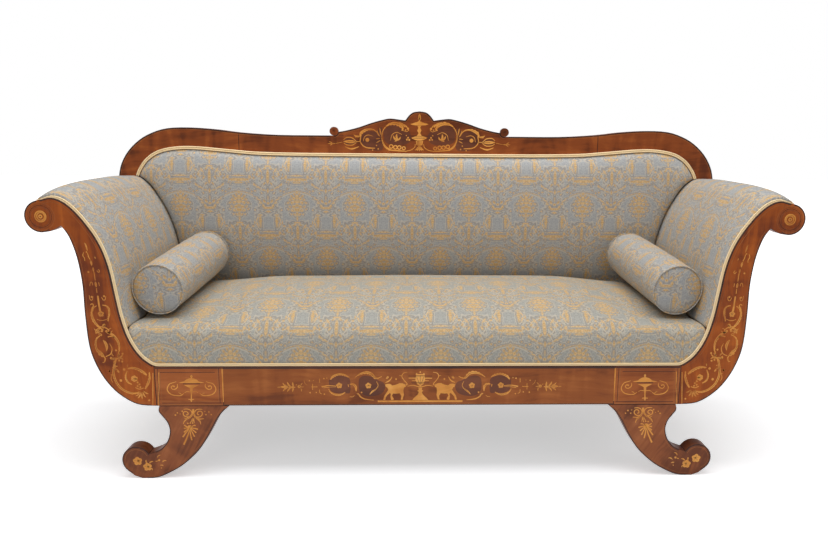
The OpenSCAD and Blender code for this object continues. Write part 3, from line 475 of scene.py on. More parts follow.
def grid_faces(rows, cols, start=0, wrap=False):
    """Quads of a grid that is stored row by row; with wrap, the last column joins the first."""
    faces = []
    for r in range(rows - 1):
        for c in range(cols if wrap else cols - 1):
            d = (c + 1) % cols
            faces.append((start + r * cols + c, start + r * cols + d,
                          start + (r + 1) * cols + d, start + (r + 1) * cols + c))
    return faces


def flip(faces):
    return [tuple(reversed(f)) for f in faces]


def mirrored(verts):
    v = np.array(verts, float)
    v[:, 0] *= -1
    return v


def both_sides(name, verts, faces, mat, cloth):
    """The right piece and its mirror image on the left; returns {side: piece}."""
    return {"left": add_piece("left_" + name, mirrored(verts), flip(faces), mat, cloth=cloth),
            "right": add_piece("right_" + name, verts, faces, mat, cloth=cloth)}


def cushion(node):
    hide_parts(node)


# Show-wood and inner wood, from the solids, with softened edges

EDGE = 1.2


def solid_copy(node):
    bm = bmesh.new()
    bm.from_mesh(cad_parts[node].data)
    bmesh.ops.remove_doubles(bm, verts=bm.verts, dist=1e-5)
    return bm


def piece_from(bm, name, node, mats):
    """Smooth faces with sharp corners, and the finished piece replaces the solid."""
    for f in bm.faces:
        f.smooth = True
    mark_sharp(bm)
    me = bpy.data.meshes.new(name)
    bm.to_mesh(me)
    bm.free()
    for mat in mats:
        me.materials.append(mat)
    ob = linked(name, me)
    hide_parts(node)
    return ob


def dressed(node, mat, edge=EDGE):
    """A solid's copy with its straight and curved outlines softened, and its bevels dark: partly the edge's own
    dark line, partly painted shade.
    """
    bm = solid_copy(node)
    bmesh.ops.dissolve_limit(bm, angle_limit=math.radians(0.4), verts=bm.verts, edges=bm.edges)
    if edge:
        picked = [e for e in bm.edges if len(e.link_faces) == 2
                  and e.calc_length() > 2.5 * edge * MM
                  and e.calc_face_angle(0) > math.radians(35)]
        made = bmesh.ops.bevel(bm, geom=picked, offset=edge * MM, segments=2, profile=0.5,
                               affect="EDGES", clamp_overlap=False)
        # The bevel faces take the dark wood: partly the edge's own dark line, partly painted shade along the
        # edge
        for f in made["faces"]:
            f.material_index = 1
    ob = piece_from(bm, node + "_wood", node, (mat, WOOD_DARK))
    even = ob.modifiers.new("flat_faces", "WEIGHTED_NORMAL")
    even.keep_sharp = True
    even.weight = 80


for side in ("left", "right"):
    dressed(f"{side}_corner_block", WOOD_BLOCK)
    dressed(f"{side}_arm_facing", WOOD_Z)
    dressed(f"{side}_front_leg", WOOD_LEG)
    dressed(f"{side}_rear_leg", WOOD_LEG)
    dressed(f"{side}_shoulder", WOOD_CREST)
    dressed(f"{side}_scroll_roundel", WOOD_Z, edge=0)
    dressed(f"{side}_rear_post", WOOD_Z)
dressed("front_seat_rail", WOOD_X)
dressed("back_seat_rail", WOOD_X)
dressed("crest_rail", WOOD_CREST)
dressed("cresting", WOOD_CREST)
dressed("cresting_knobs", WOOD_CREST, edge=0)
dressed("left_side_rail", WOOD_X)
dressed("right_side_rail", WOOD_X)

ARM_RAILS = [f"{side}_{rail}" for side in ("left", "right")
             for rail in ("scroll_rail", "middle_arm_rail", "lower_arm_rail")]
INNER_NODES = (
    (PINE, ["cross_rails", "corner_braces", "frame_dowels", "back_stuffing_rail", *ARM_RAILS]),
    (PINE_Z, ["back_uprights"]),
    (STEEL, ["brace_screws"]),
)
for mat, nodes in INNER_NODES:
    for node in nodes:
        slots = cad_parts[node].data.materials
        slots.clear()
        slots.append(mat)


# Marquetry: flat shapes drawn in mm on a front face, each a thin sheet let into the wood. The lines along the
# edges also carry painted shade and a painted highlight.

# The sheets' materials, and how far each stands proud and is let in
SHADED, GOLD, DARK, LIGHT = 0, 1, 2, 3
PROUD = (0.05, 0.12, 0.24, 0.08)
SUNK = 0.3
# Neighbours in a list lie at other heights, so no two that cross share a plane
LEVELS, LEVEL_STEP = 5, 0.015
# A line with lobes, and a leaf with a vein, are wider than this
LOBED_W, VEINED_W = 4.6, 2.6


def band(points, widths, lobes=False):
    """A strip along a smoothed line. Returns rows of two points."""
    p = smooth(points, 6) if len(points) > 2 else resample(np.array(points, float), 5)
    w = np.interp(lengths(p) / max(lengths(p)[-1], 1e-6), np.linspace(0, 1, len(widths)), widths) / 2
    n = normals(p)
    left = w.copy()
    if lobes:
        pitch = max(widths) * 1.15
        left = w * (0.72 + 0.62 * np.abs(np.sin(math.pi * lengths(p) / pitch)))
    return np.stack([p + n * left[:, None], p - n * w[:, None]], 1)


def flat_faces(outline):
    """Triangles that fill an outline of points in a plane."""
    return [tuple(t) for t in tessellate_polygon([[Vector((p[0], p[1], 0)) for p in outline]])]


def ring_points(c, r, n=20):
    return arc(c, r, 0, 360 * (n - 1) / n, n - 1)


def leaf_line(base, tip, bend):
    b, e = np.array(base, float), np.array(tip, float)
    side = (b + e) / 2 + np.array([b[1] - e[1], e[0] - b[0]]) * 2 * bend
    return [(1 - t) ** 2 * b + 2 * t * (1 - t) * side + t * t * e for t in (0, 0.25, 0.5, 0.75, 1)]


def drawing(text):
    """Reads shapes, split by semicolons: a word and its numbers, points as x z.

    ground and shape: corners; line and cut: points / widths along the line;
    leaf: base, tip, width, bend; dot: middle, radius; ring: middle, radius, width;
    rose: middle, radius, petals.
    """
    items = []
    for entry in text.split(";"):
        points, _, widths = entry.partition("/")
        word, *values = points.split()
        v = [float(n) for n in values]
        pairs = list(zip(v[::2], v[1::2]))
        if word in ("ground", "shape"):
            items.append((word, pairs))
        elif word in ("line", "cut"):
            items.append((word, pairs, [float(n) for n in widths.split()]))
        elif word == "leaf":
            items.append((word, pairs[0], pairs[1], v[4], v[5]))
        else:
            items.append((word, pairs[0], *v[2:]))
    return items


def draw(items):
    """Turns a drawing into (material, outline or strip) for each sheet."""
    out = []
    for word, *rest in items:
        if word == "ground":
            out.append((SHADED, smooth(rest[0] + rest[0][:1], 4)[:-1]))
        elif word == "shape":
            out.append((GOLD, np.array(rest[0], float)))
        elif word == "cut":
            out.append((DARK, band(*rest)))
        elif word == "line":
            thick = max(rest[1]) > LOBED_W and len(rest[0]) > 3
            out.append((GOLD, band(*rest, lobes=thick)))
            if thick:
                out.append((DARK, band(rest[0][1:-1], [0.3, 0.7, 0.3])))
        elif word == "leaf":
            base, tip, w, bend = rest
            line = leaf_line(base, tip, bend)
            out.append((GOLD, band(line, [0.2 * w, 0.85 * w, w, 0.75 * w, 0.1 * w])))
            if w > VEINED_W:
                out.append((DARK, band(line[:-1], [0.25, 0.5, 0.2])))
        elif word == "dot":
            out.append((GOLD, ring_points(rest[0], rest[1], 14)))
        elif word == "ring":
            c, r, w = rest
            circle = arc(c, r, 0, 360, 24)
            n = (circle - np.array(c)) / r
            out.append((GOLD, np.stack([circle + n * w / 2, circle - n * w / 2], 1)))
        elif word == "rose":
            c, r, petals = rest
            for k in range(int(petals)):
                a = 2 * math.pi * k / petals + 0.4
                way = np.array([math.cos(a), math.sin(a)])
                out.append((GOLD, ring_points(np.array(c) + 0.56 * r * way, 0.46 * r, 12)))
                out.append((DARK, band([c, np.array(c) + 0.8 * r * way], [0.4, 0.15])))
            out.append((GOLD, ring_points(c, 0.36 * r, 12)))
    return out


def plates(shapes, front_y):
    """Vertices, faces and material numbers of the sheets for a list of drawn shapes."""
    verts, faces, mats = [], [], []
    for i, (kind, s) in enumerate(shapes):
        start = len(verts)
        top = front_y - PROUD[kind] - LEVEL_STEP * (i % LEVELS)
        flat = s.reshape(-1, 2)
        k = len(flat)
        verts += [(p[0], top, p[1]) for p in flat] + [(p[0], front_y + SUNK, p[1]) for p in flat]
        if s.ndim == 3:
            top_faces = [(2 * j, 2 * j + 1, 2 * j + 3, 2 * j + 2) for j in range(len(s) - 1)]
            rim = list(range(0, k, 2)) + list(range(k - 1, 0, -2))
        else:
            top_faces = flat_faces(s)
            rim = list(range(k))
        made = []
        for f in top_faces:
            made += [f, tuple(j + k for j in reversed(f))]
        made += [(a, b, b + k, a + k) for a, b in zip(rim, rim[1:] + rim[:1])]
        faces += [tuple(j + start for j in f) for f in made]
        mats += [kind] * len(made)
    return verts, faces, mats


def mirror_items(items, axis=0.0, margin=1.0):
    """The items that lie wholly left of the axis, turned over to the right of it."""
    def turned(p):
        return (2 * axis - p[0], p[1])
    out = []
    for word, first, *rest in items:
        points = first if isinstance(first, list) else [first]
        far = rest[0] if word == "leaf" else points[0]
        if max([p[0] for p in points] + [far[0]]) > axis - margin:
            continue
        new = [turned(p) for p in points] if isinstance(first, list) else turned(first)
        if word == "leaf":
            rest = turned(rest[0]), rest[1], -rest[2]
        out.append((word, new, *rest))
    return out


def inlay(name, shapes, front_y, flipped=False):
    verts, faces, mats = plates(shapes, front_y)
    side = -MM if flipped else MM
    me = bpy.data.meshes.new(name)
    me.from_pydata([(v[0] * side, v[1] * MM, v[2] * MM) for v in verts], [], faces)
    for m in (INLAY_GROUND, BOXWOOD, WOOD_DARK, STRINGING_AND_HIGHLIGHT):
        me.materials.append(m)
    me.polygons.foreach_set("material_index", mats)
    turn_out(me)
    linked(name, me)


def strip(path, d0, d1, kind):
    """A line of the left half along an edge of the right half, between two distances inside it."""
    n = normals(path)
    return kind, np.stack([path - n * d0, path - n * d1], 1) * [-1, 1]


def edge_lines(path, lines, side=1):
    """The dark and the light line along an edge; side -1 is for an edge that runs the other way. The dark line
    is partly the edge's own line and partly painted shade; the light line is a painted highlight of the edge.
    """
    return [strip(path, side * d0, side * d1, kind) for (d0, d1), kind in zip(lines, (DARK, LIGHT))]


# Drawings for the marquetry, in mm: left half or middle, seen from the front

RAIL_MIDDLE_INK = drawing("""
    ground -181.5 287.5  -178.5 311  -162 320  -136.5 314  -122.5 305  -108.5 299  -103 284.5  -111.5 266.5
    -134.5 257.5  -159.5 257.5  -176.5 269.5; shape -103.5 292.5  -97 294.5  -89 294.5  -82 289.5  -72 291.5
    -61 296.5  -52 296  -44.5 292.5  -42.5 285.5  -48 282.5  -49.5 272.5  -48 260.5  -52 245.5  -57.5 245
    -55.5 257  -60.5 265  -72.5 264  -80 264.5  -83.5 258  -78.5 249  -79 244.5  -86 244.5  -88 254.5  -86.5 263
    -89.5 266  -97 259.5  -101 253  -103 245  -109 245  -105.5 258  -98 269.5  -94 276  -97 282.5  -102 286.5;
    line -43 290  -38.5 294  -48 306  -54 317  -49.5 327  -37.5 330 / 2.7 2.4 2.1 2.4 2.1 1.1; line -53.5 318.5
    -62 320.5 / 1.9 0.8; line -125.5 240.2  125.5 240.2 / 5.4; dot 0 330.5  2.4; dot -10.5 325.5  1.9;
    dot 10.5 325.5  1.9; line -13 322.5  13 322.5 / 3.8; line -34.5 312  34.5 311.5 / 2.4; shape -12.5 319.5
    12.5 319.5  14.5 307.5  9.5 293  0 286.5  -9 293  -14.5 307.5; line -24.5 304  25 304 / 1.6; line -37 287
    -21.5 289.5  0 285  22 289.5  37 287 / 1.9 2.4 3.2 2.4 1.9; shape -6 282.5  6 282.5  4.5 276.5  9.5 272.5
    4.5 269  8 261  18 251  24.5 244  -23.5 244  -17.5 251.5  -7.5 261  -4 269  -9 272.5  -4 276.5;
    rose -152.5 289  9.1 5; line -192 314  -181 322  -167.5 328  -153.5 329  -141.5 323.5  -133.5 313  -124 312
    -113 317.5 / 1.1 3.2 5.9 8.1 8.1 6.4 3.2 1.6; leaf -147.5 325.5  -133.5 310.5  5.9 0.1; leaf -136.5 317
    -126.5 308.5  3.8 0.1; leaf -94.5 318.5  -101 311.5  5.9 0.2; line -83 316  -87.5 308  -94 302
    -102.5 298.5 / 1.6 3.2 3.8 1.6; dot -71 309  2.7; line -128.5 302  -124 290  -129.5 279  -141 270.5
    -148.5 262 / 1.3 1.9 2.7 4.8 2.1; line -207 293  -197 293.5  -189.5 285.5  -188.5 272 / 3.8 5.9 7 2.7;
    line -183.5 266  -176 255  -162.5 247.5  -137 244 / 2.1 3.8 3.2 1.6; dot -172.5 268  2.4; leaf -187.5 264.5
    -177 252  4.3 0.2; line -207.5 255  -199 254.5  -193.5 259 / 1.1 1.6 0.8; cut -35 318.5  35 318 / 1.1;
    cut -27 299  27 298.5 / 1.1; cut -24.5 294.5  25 294.5 / 0.8; cut 0 319.5  0 291.5 / 0.8; cut -10.5 315
    0 293.5  10.5 315 / 0.8
""")
RAIL_SIDE_INK = drawing("""
    ground -268.5 305.5  -254.5 318  -233.5 320  -215 315.5  -206 305.5  -206.5 268.5  -222.5 266  -246 266
    -264.5 276; leaf -408.5 285  -419 285  2.7 0; leaf -385.5 284.5  -410 286  7.6 0; leaf -387.5 286  -403 298
    4.5 0.1; leaf -378.5 285.5  -389.5 301  4.9 0.1; leaf -371.5 285.5  -373.5 300.5  4.5 0.05;
    leaf -387.5 283.5  -403 272  4.5 -0.1; leaf -378.5 283.5  -390 270  4.9 -0.1; leaf -371 283.5  -374.5 270.5
    4.5 -0.05; leaf -385.5 284.5  -365.5 284.5  5.8 0; rose -355 286.5  4.9 5; leaf -353 285.5  -340.5 285.5
    3.1 0; leaf -350.5 288.5  -344.5 298  2.7 0.1; leaf -350.5 282.5  -349 271  3.1 0.1; leaf -361 291  -364 293
    2.2 0; line -340.5 305.5  -337.5 296  -331.5 291.5 / 0.9 1.3 0.9; dot -324.5 304.5  2; dot -312.5 305.5
    1.1; line -315.5 295  -316 276 / 1.6; line -320 285.5  -301.5 285.5 / 1.8; dot -323.5 267.5  2.2;
    dot -305.5 268.5  1.8; line -294.5 311  -295 298 / 1.8; line -295.5 277  -295 267.5
    -289 263.5 / 1.6 1.8 1.3; dot -282 263  2.2; dot -282.5 311  2.2; dot -273.5 312.5  1.6; line -289.5 285.5
    -269 289.5  -246.5 288 / 4 2.7 1.8; line -284 282.5  -266.5 284.5  -246.5 285.5 / 1.8 1.3 1.1;
    line -270 278.5  -265.5 274 / 1.8 1.1; rose -238 289.5  8.9 5; line -263.5 307.5  -256.5 316.5  -245 322.5
    -233.5 324.5  -219.5 321  -208 314.5 / 2.7 6.7 5.8 4.9 5.8 2.2; line -267.5 273  -257.5 264.5  -241.5 260.5
    -229 263.5  -221 268.5 / 1.8 5.4 5.8 4.9 1.8; line -211.5 293  -210.5 285.5 / 3.1 1.8
""")
FACING_INK = drawing("""
    leaf -940.5 711  -934.5 687.5  3.5 0.05; dot -937.5 684.5  1.6; line -945 683.5  -948 675  -944 667
    -944 659 / 1.2 2 1.6 1.2; line -935 683  -932.5 671  -928.5 663 / 1.2 2 1.6; leaf -916 672  -913.5 665.5
    2.3 0; leaf -928.5 661  -926 645  4.7 0.05; dot -936.5 627.5  2.3; leaf -923 641  -922 627.5  3.9 0;
    line -913 631.5  -908 626.5  -905.5 631.5  -909 635.5 / 1.6 2 2 1.2; line -921 627.5  -919.5 603.5 / 2 1.6;
    leaf -919.5 599.5  -918 583  5.1 0; line -936 587  -933.5 597  -929 597.5  -927.5 589 / 1.2 1.6 1.6 1.2;
    line -910.5 597.5  -909 587 / 2 1.2; line -918 581  -917.5 567 / 2 1.6; line -940 560.5  -938 547.5
    -932.5 547  -929.5 556.5 / 1.2 1.6 1.6 1.2; dot -933.5 555.5  2.3; line -905.5 555  -902 547  -896.5 547.5
    -893.5 557.5 / 1.2 1.6 1.6 1.2; dot -898.5 557.5  2.3; line -916 559  -915 538.5  -913 514.5 / 3.5 3.9 4.7;
    rose -911.5 506  7 5; line -939 532  -933.5 535.5  -930.5 530  -936 522.5 / 2 2.3 2.3 2; line -935 522.5
    -937.5 506  -934 488  -924.5 472.5  -908.5 457.5 / 2.3 4.7 5.9 4.7 2.3; line -905.5 531.5  -895 529.5
    -888 521  -888 505.5  -891.5 493  -893 484 / 1.8 3 4.2 4.2 3.2 2.2; leaf -918 461  -934.5 462.5  3.1 0.3;
    leaf -916 457  -931 452  3.1 0.2; leaf -908 461  -907.5 476  3.1 0.1; leaf -899.5 459  -882.5 457  3.1 -0.5;
    dot -903.5 471  2; dot -900 454.5  2.7; dot -912.5 454.5  2.3; line -916.5 443  -929 433  -933.5 415.5
    -930.5 399  -920 389.5  -912.5 381.5 / 1.6 3.1 4.3 4.7 7 2.3; line -916 382  -910 374  -912.5 363
    -918.5 361.5 / 2.3 2.7 2.7 2; leaf -911.5 428  -904.5 395.5  7 0.15; line -900 452  -883.5 444.5  -871 428
    -867 411.5  -868 394.5 / 3.1 5.5 5.5 4.7 3.1; line -869 394.5  -874 378 / 2.7 2.3; line -894 418  -888 403
    -893.5 386.5  -908 379 / 1.2 2 2.3 1.6; leaf -879.5 373  -894.5 379  3.5 0.3; leaf -879.5 370.5  -894 369
    3.1 -0.2; leaf -874.5 376  -859.5 385.5  3.5 -0.2; leaf -873.5 371.5  -858 369.5  3.5 0.2; leaf -873 378
    -866.5 388  2.7 0.1; line -887 373  -869 373 / 3.9; line -878.5 372  -885.5 352  -889 332  -886.5 310.5
    -877 290  -860.5 275  -839 267  -820 269.5 / 3.9 4.7 5.5 5.5 5.5 5.1 4.7 3.1; leaf -887 336  -899 323.5
    3.5 0.2; leaf -887.5 336  -876 340  3.1 0.2; dot -900.5 335  2.3; line -895 323.5  -897.5 310.5
    -893.5 300.5 / 1.2 2 1.6; dot -874.5 332.5  2; dot -858 340  3.1; dot -870 306.5  3.1; dot -878.5 349.5
    1.6; leaf -847 356  -848.5 347.5  2.3 0; line -848 342.5  -833.5 344.5  -817.5 340  -803.5 331
    -794.5 322.5 / 3.1 5.1 5.9 6.6 3.5; line -849.5 336  -855.5 319  -850.5 302  -839 294.5 / 2 3.5 4.3 2.3;
    rose -831 312  7.8 6; line -786.5 331.5  -787 314.5  -792.5 297  -802 280.5 / 2.3 5.1 5.9 3.1;
    dot -822.5 300.5  2.3; dot -817.5 294.5  2.3; dot -823 289.5  2.3; dot -815.5 286  2.3; line -830 285
    -818.5 280  -806 283.5 / 2 2.7 2; leaf -817 272  -826 251.5  3.5 0.15; leaf -813.5 270  -812.5 249  3.5 0;
    leaf -809 272  -801 254  3.5 -0.1; leaf -807.5 274.5  -793 265.5  3.1 -0.1; dot -792.5 245.5  2.3;
    leaf -820.5 274  -832 258.5  3.1 0.2; line -935.5 513  -932.5 522  -926.5 527  -921 530 / 4 3.4 2.2 1.2;
    line -924.5 490.5  -916 487  -905.5 487  -894 491 / 0.9 1.6 1.6 0.9; line -916.5 468.5  -907 466  -899 463.5
    -891.5 456.5 / 2 2.6 2.6 2; line -929.5 447  -929.5 456  -923.5 462  -915 461.5  -911.5 455 / 1.8 2 2 2 1.4;
    line -895.5 446.5  -893.5 459  -886 463.5 / 2 2 1.2; line -897.5 437.5  -886.5 440
    -878 435.5 / 2.6 2.6 1.6; line -923 445  -917.5 447  -914 444  -915.5 440 / 1.2 1.8 1.8 1; dot -904.5 473.5
    2.8; dot -924 451.5  2.6; dot -924 387  4.2; dot -917.5 381.5  3.2; dot -892.5 374  3; dot -877 398  2.4;
    dot -859 387.5  2.4; dot -862 364  2.4; dot -870.5 367  2.4; dot -900 334.5  2.2; dot -876.5 335.5  2.4;
    leaf -884.5 379.5  -890.5 389.5  2.6 0.1; leaf -876 379.5  -867 388.5  2.6 -0.1; leaf -882.5 353.5  -885 367
    4.6 0.05; leaf -887 334.5  -881.5 353.5  4.2 0.05; line -776.5 329  -783 230 / 2; line -759.5 330.5
    -766 228.5 / 2.3
""")
CREST_INK = drawing("""
    ground -127.5 1026  -106 1042  -80.5 1044  -59 1028.5  -41.5 1024.5  -28.5 1005.5  -37.5 984  -63 975.5
    -106.5 977.5  -125.5 992; ground -207.5 987  -204 1012.5  -183.5 1024.5  -153.5 1023.5  -136 1038.5
    -132 1017.5  -136.5 996  -129.5 975  -136.5 957  -175.5 957  -197 968; ground -270 986.5  -256.5 999.5
    -231 997.5  -220.5 987  -235.5 974  -261.5 976; leaf -1 1084  -1 1059.5  7 0; dot -1 1068  4;
    shape -33 1048.5  -21 1052.5  -10 1055.5  -1 1060.5  8 1055.5  19.5 1052.5  31.5 1049  22 1045  -1 1043.5
    -23.5 1045; shape -7.5 1043  5.5 1043  2 1036  7 1027  2.5 1017.5  7.5 1008.5  -9 1008  -3.5 1017.5
    -8.5 1026.5  -4 1036; shape -29.5 1000.5  -18.5 1004.5  -9 1007.5  7.5 1008  17 1005  27.5 1001  17 994.5
    6 991.5  -7 991.5  -18.5 994.5; line -11.5 990.5  -9 975 / 2.6 2.2; line -6 990.5  -4.5 974 / 2.6 2.2;
    line -0.5 990.5  -0.5 973.5 / 2.6 2.2; line 4.5 990.5  3.5 974 / 2.6 2.2; line 10 990.5  7.5 975 / 2.6 2.2;
    leaf -0.5 973.5  -16.5 957  6.2 0.1; leaf -0.5 973.5  -8 954.5  5.3 0; leaf -0.5 973.5  -0.5 953  5.3 0;
    leaf -0.5 973.5  7.5 954.5  5.3 0; leaf -0.5 973.5  15.5 957.5  6.2 -0.1; line -15 979  -17.5 967.5
    -30.5 958  -46 954.5 / 1.8 2.6 2.6 2.2; line -120 1039.5  -106 1048  -87 1050.5  -71 1045.5  -59.5 1034
    -63 1025.5 / 2.2 7 10.5 11.4 8.8 3.5; leaf -80.5 1052.5  -51 1036.5  7 0.15; leaf -63 1047.5  -41.5 1034
    5.3 0.1; dot -41 1032.5  4; dot -49.5 1028  2.6; line -59 1026.5  -46 1022  -37.5 1028.5 / 1.8 2.2 1.8;
    line -120.5 1038.5  -130 1024  -134 1004.5  -130.5 984.5  -120 967.5  -104.5 958 / 2.2 2.6 3.1 4 6.2 7;
    ring -101 970  6.2 3.5; ring -86 967  6.2 3.5; ring -72 966.5  6.2 3.5; ring -56 964  5.3 3.5;
    line -106.5 958  -80.5 955.5  -46 953.5 / 4.4 4 2.6; leaf -78 992.5  -92.5 1008.5  6.2 0.2; leaf -78.5 992.5
    -80.5 1014.5  7 0.1; leaf -79.5 992.5  -68.5 1004.5  5.3 -0.2; dot -80.5 995  5.3; leaf -78.5 992.5  -89 988
    4.4 0; line -103 991.5  -97.5 1011  -80.5 1019.5  -63 1012 / 1.3 2.2 2.2 1.3; dot -41 1001  3.1;
    dot -45 994.5  3.1; dot -36.5 993.5  3.5; dot -47 1008.5  2.2; line -208.5 1003  -209.5 1013.5  -198 1023.5
    -181 1029.5  -163 1028  -150 1018 / 3.5 9.7 8.8 5.3 3.5 2.2; dot -185.5 992.5  7; line -200 987
    -195.5 1002.5  -183 1009.5  -165.5 1005.5 / 1.3 2.2 2.2 1.3; line -208.5 1003  -210.5 987  -202 973
    -186 965  -158 963.5 / 3.1 3.1 3.5 4.4 2.2; dot -147 961  2.6; dot -153 973  2.2; dot -167 957  2.2;
    leaf -140 1004  -151 1027.5  4.8 0.1; leaf -137 1009  -141.5 1035  4.4 0; leaf -140 998  -156 996  3.5 0;
    leaf -139 991  -154.5 982.5  3.5 0; leaf -209.5 1006  -234 1010.5  6.2 0.15; dot -226 1003  2.2;
    leaf -226 985.5  -270.5 986.5  11.4 0; line -224.5 987  -239.5 999  -258.5 1000.5
    -269.5 992.5 / 1.8 3.5 3.5 1.8; line -224.5 983  -239 974  -259 975  -269 981.5 / 1.8 3.5 3.5 1.8;
    line -265 968  -242 960.5  -216 968.5 / 2.2 5.7 2.2; line -225 986  -209 987 / 2.2; leaf -296.5 979.5
    -326.5 978.5  4 0; leaf -310.5 981.5  -321.5 986.5  2.6 0; leaf -308.5 978  -319 972  2.6 0;
    line -296.5 979.5  -274 984 / 1.3; cut -12.5 1004.5  10 1005 / 0.9; cut -22 999.5  19 1000 / 1.3;
    cut -252.5 985.5  -226 985.5 / 1.3
""")
BLOCK_INK = drawing("""
    leaf -666 323  -666.5 313  6.3 0; shape -705 299.5  -697 301.5  -688.5 303.5  -682.5 308.5  -676 311.5
    -666.5 314  -657.5 311.5  -651 308  -646 303  -637.5 301.5  -630 299.5  -641 298  -694 298.5;
    shape -689.5 292.5  -646 292  -650 290  -660 285  -665.5 280.5  -664.5 276  -666.5 273  -671 273  -673.5 276
    -671.5 280.5  -676.5 285  -686 290; line -669 276  -669.5 261.5  -670.5 246.5 / 5.4 3 3.8; leaf -670.5 248
    -671 240  5.4 0; line -679 248  -662 248 / 2.4; line -689 268  -682 272  -669 271  -656 272
    -649.5 268 / 1.4 2.2 2.4 2.2 1.4; line -711 302.5  -720 299.5  -729.5 296.5  -734.5 290.5  -738.5 281
    -736 271.5  -728.5 264  -717.5 260.5  -705 259.5  -698 261
    -691 266.5 / 1.4 2.4 2.4 2.7 3 3.3 3.3 3 2.7 3 1.4; line -708.5 295.5  -708.5 286.5  -714.5 280  -722 279
    -726.5 284.5  -723 289.5  -716 287.5 / 1.4 2.7 3.3 2.7 2.4 3 4.6; leaf -707.5 269  -697.5 262.5  3 0.1;
    line -576.5 341  -577.5 239.5 / 4.6 2.2; cut -692 296  -642.5 296 / 1.9
""")
LEG_INK = drawing("""
    line -667.5 218  -669.5 205  -675 195.5  -686 188  -694.5 179.5  -698.5 171.5 / 2.8 3.2 3.6 3.2 2.8 1.2;
    line -666 218  -665 205  -662.5 195.5  -655 186.5  -648.5 178.5  -647 170 / 2.8 3.2 3.6 3.2 2.8 1.2;
    line -675 194.5  -686 193.5  -695 198.5  -696 207  -688.5 210.5  -682.5 206.5  -683.5 200.5
    -688.5 200 / 2 2.4 2.4 2.4 2.2 2 2 2.4; line -661.5 194.5  -652 193  -643 198  -641 206.5  -646.5 211.5
    -653.5 209  -655 202  -650.5 200 / 2 2.4 2.4 2.4 2.2 2 2 2.4; line -695 217.5  -682.5 218  -673.5 213
    -670.5 203.5 / 1 2 2 1.6; line -640 217  -652 217.5  -660.5 213  -664 203.5 / 1 2 2 1.6; line -660.5 192
    -650.5 187  -637.5 188 / 1.6 2.4 1.6; line -675.5 192  -687 188  -695.5 190.5 / 1.6 2 0.8; leaf -671 190.5
    -680.5 173  2.4 0.1; leaf -668.5 190.5  -670.5 175  2.4 0; leaf -665.5 190.5  -664 172.5  2 -0.1;
    dot -685 173.5  1.8; dot -677.5 174.5  1.6; dot -670.5 174.5  1.8; dot -664.5 167  1.8; dot -680 160  6;
    line -680 160  -689 163.5  -696 168 / 1.6 2.4 3.2; line -680 159.5  -689.5 159  -697.5 157.5 / 1.6 2.4 3.2;
    line -680 158.5  -690 152.5  -697.5 145.5 / 1.6 2.4 3.6; line -680 158  -692.5 143.5
    -702 130.5 / 1.6 2.8 3.6; line -680 157  -687.5 134.5  -700.5 106.5 / 1.6 3.2 4; line -679.5 157.5  -679 139
    -676 120.5 / 1.6 2.8 3.2; line -679 158  -673.5 146  -667.5 131.5 / 1.6 2.4 3.2; line -678.5 159  -670.5 152
    -662 144 / 1.6 2.4 3.2; line -678.5 160  -667.5 158  -656.5 155 / 1.6 2.4 3.6; line -678.5 161.5  -670 165.5
    -664.5 168 / 1.6 2 2.4; dot -719.5 199.5  2; dot -713.5 206.5  1.6; dot -699 211.5  1.8; dot -705.5 203  1;
    dot -630.5 200.5  1.8; dot -621.5 209  1.8; dot -615 200.5  1.6; dot -633 210.5  1.2; rose -839.5 55
    10.4 5; rose -811.5 36.5  10 5; leaf -813 48.5  -814.5 59  3.2 0.1; leaf -805.5 46  -793.5 53.5  3.2 0.2;
    leaf -803 33.5  -797 25.5  2.4 0.1; dot -776 57.5  2.4; leaf -774 41  -764 40  2.8 0.1; leaf -767.5 50.5
    -754 55.5  2.8 0.2; leaf -781 64.5  -770 74  2.4 0.2; leaf -779.5 56  -788 54.5  2 0.1; dot -771 32.5  1.2
""")

BLOCK_AXIS = -668
# Straight lines of a corner block: two ends, width and material
BLOCK_LINES = [
    ((-768, 346), (-768, 230), 1.6, LIGHT), ((-763, 346), (-763, 230), 1.2, DARK),
    ((-756, 342), (-756, 238), 1.4, LIGHT), ((-756, 241.5), (-582, 241.5), 1.4, LIGHT),
    ((-756, 236.8), (-582, 236.8), 1.6, DARK), ((-770, 231.6), (-579, 231.6), 2.4, LIGHT),
    ((-591, 342), (-591, 241), 1.6, LIGHT), ((-587, 342), (-587, 238), 1.4, DARK),
    ((-756, 331), (-598, 331), 1.4, DARK), ((-770, 344), (-579, 344), 4.0, DARK),
]
# Lines along the seat rail: upper edge, lower edge and material. The dark lines at the rail's edges are partly
# painted shade, the light line a painted highlight.
RAIL_LINES = [(346.5, 341, DARK), (233.4, 232, LIGHT), (231.6, 229.6, DARK)]
# Distances from the wood's edge of the dark line, partly painted shade, and of the light line, a painted
# highlight
CREST_LINES = ((1.3, 4.6), (6.0, 7.2))
LEG_LINES = ((1.3, 3.4), (7.6, 8.6))
FACING_OUTER_LINES = ((1.3, 3.6), (7.4, 8.4))
FACING_INNER_LINES = ((1.3, 3.9), (10.6, 11.6))
# Circles round the foot's scroll, the arm's scroll and the roundel: radii and material
FOOT_CIRCLES = [(39.6, 41.6, DARK), (33.6, 34.8, LIGHT)]
SCROLL_CIRCLES = [(30.6, 31.3, DARK), (34.4, 35.2, SHADED), (38.2, 39.0, LIGHT)]
ROUNDEL_CIRCLES = [(26.8, 27.6, SHADED), (13.4, 16.6, GOLD)]
GROOVE_CIRCLES = [(8.2, 13.0, GOLD), (6.3, 8.2, DARK)]
GROOVE_DEPTH = 1.6

LEG_X, LEG_TOP_L = 560, 205
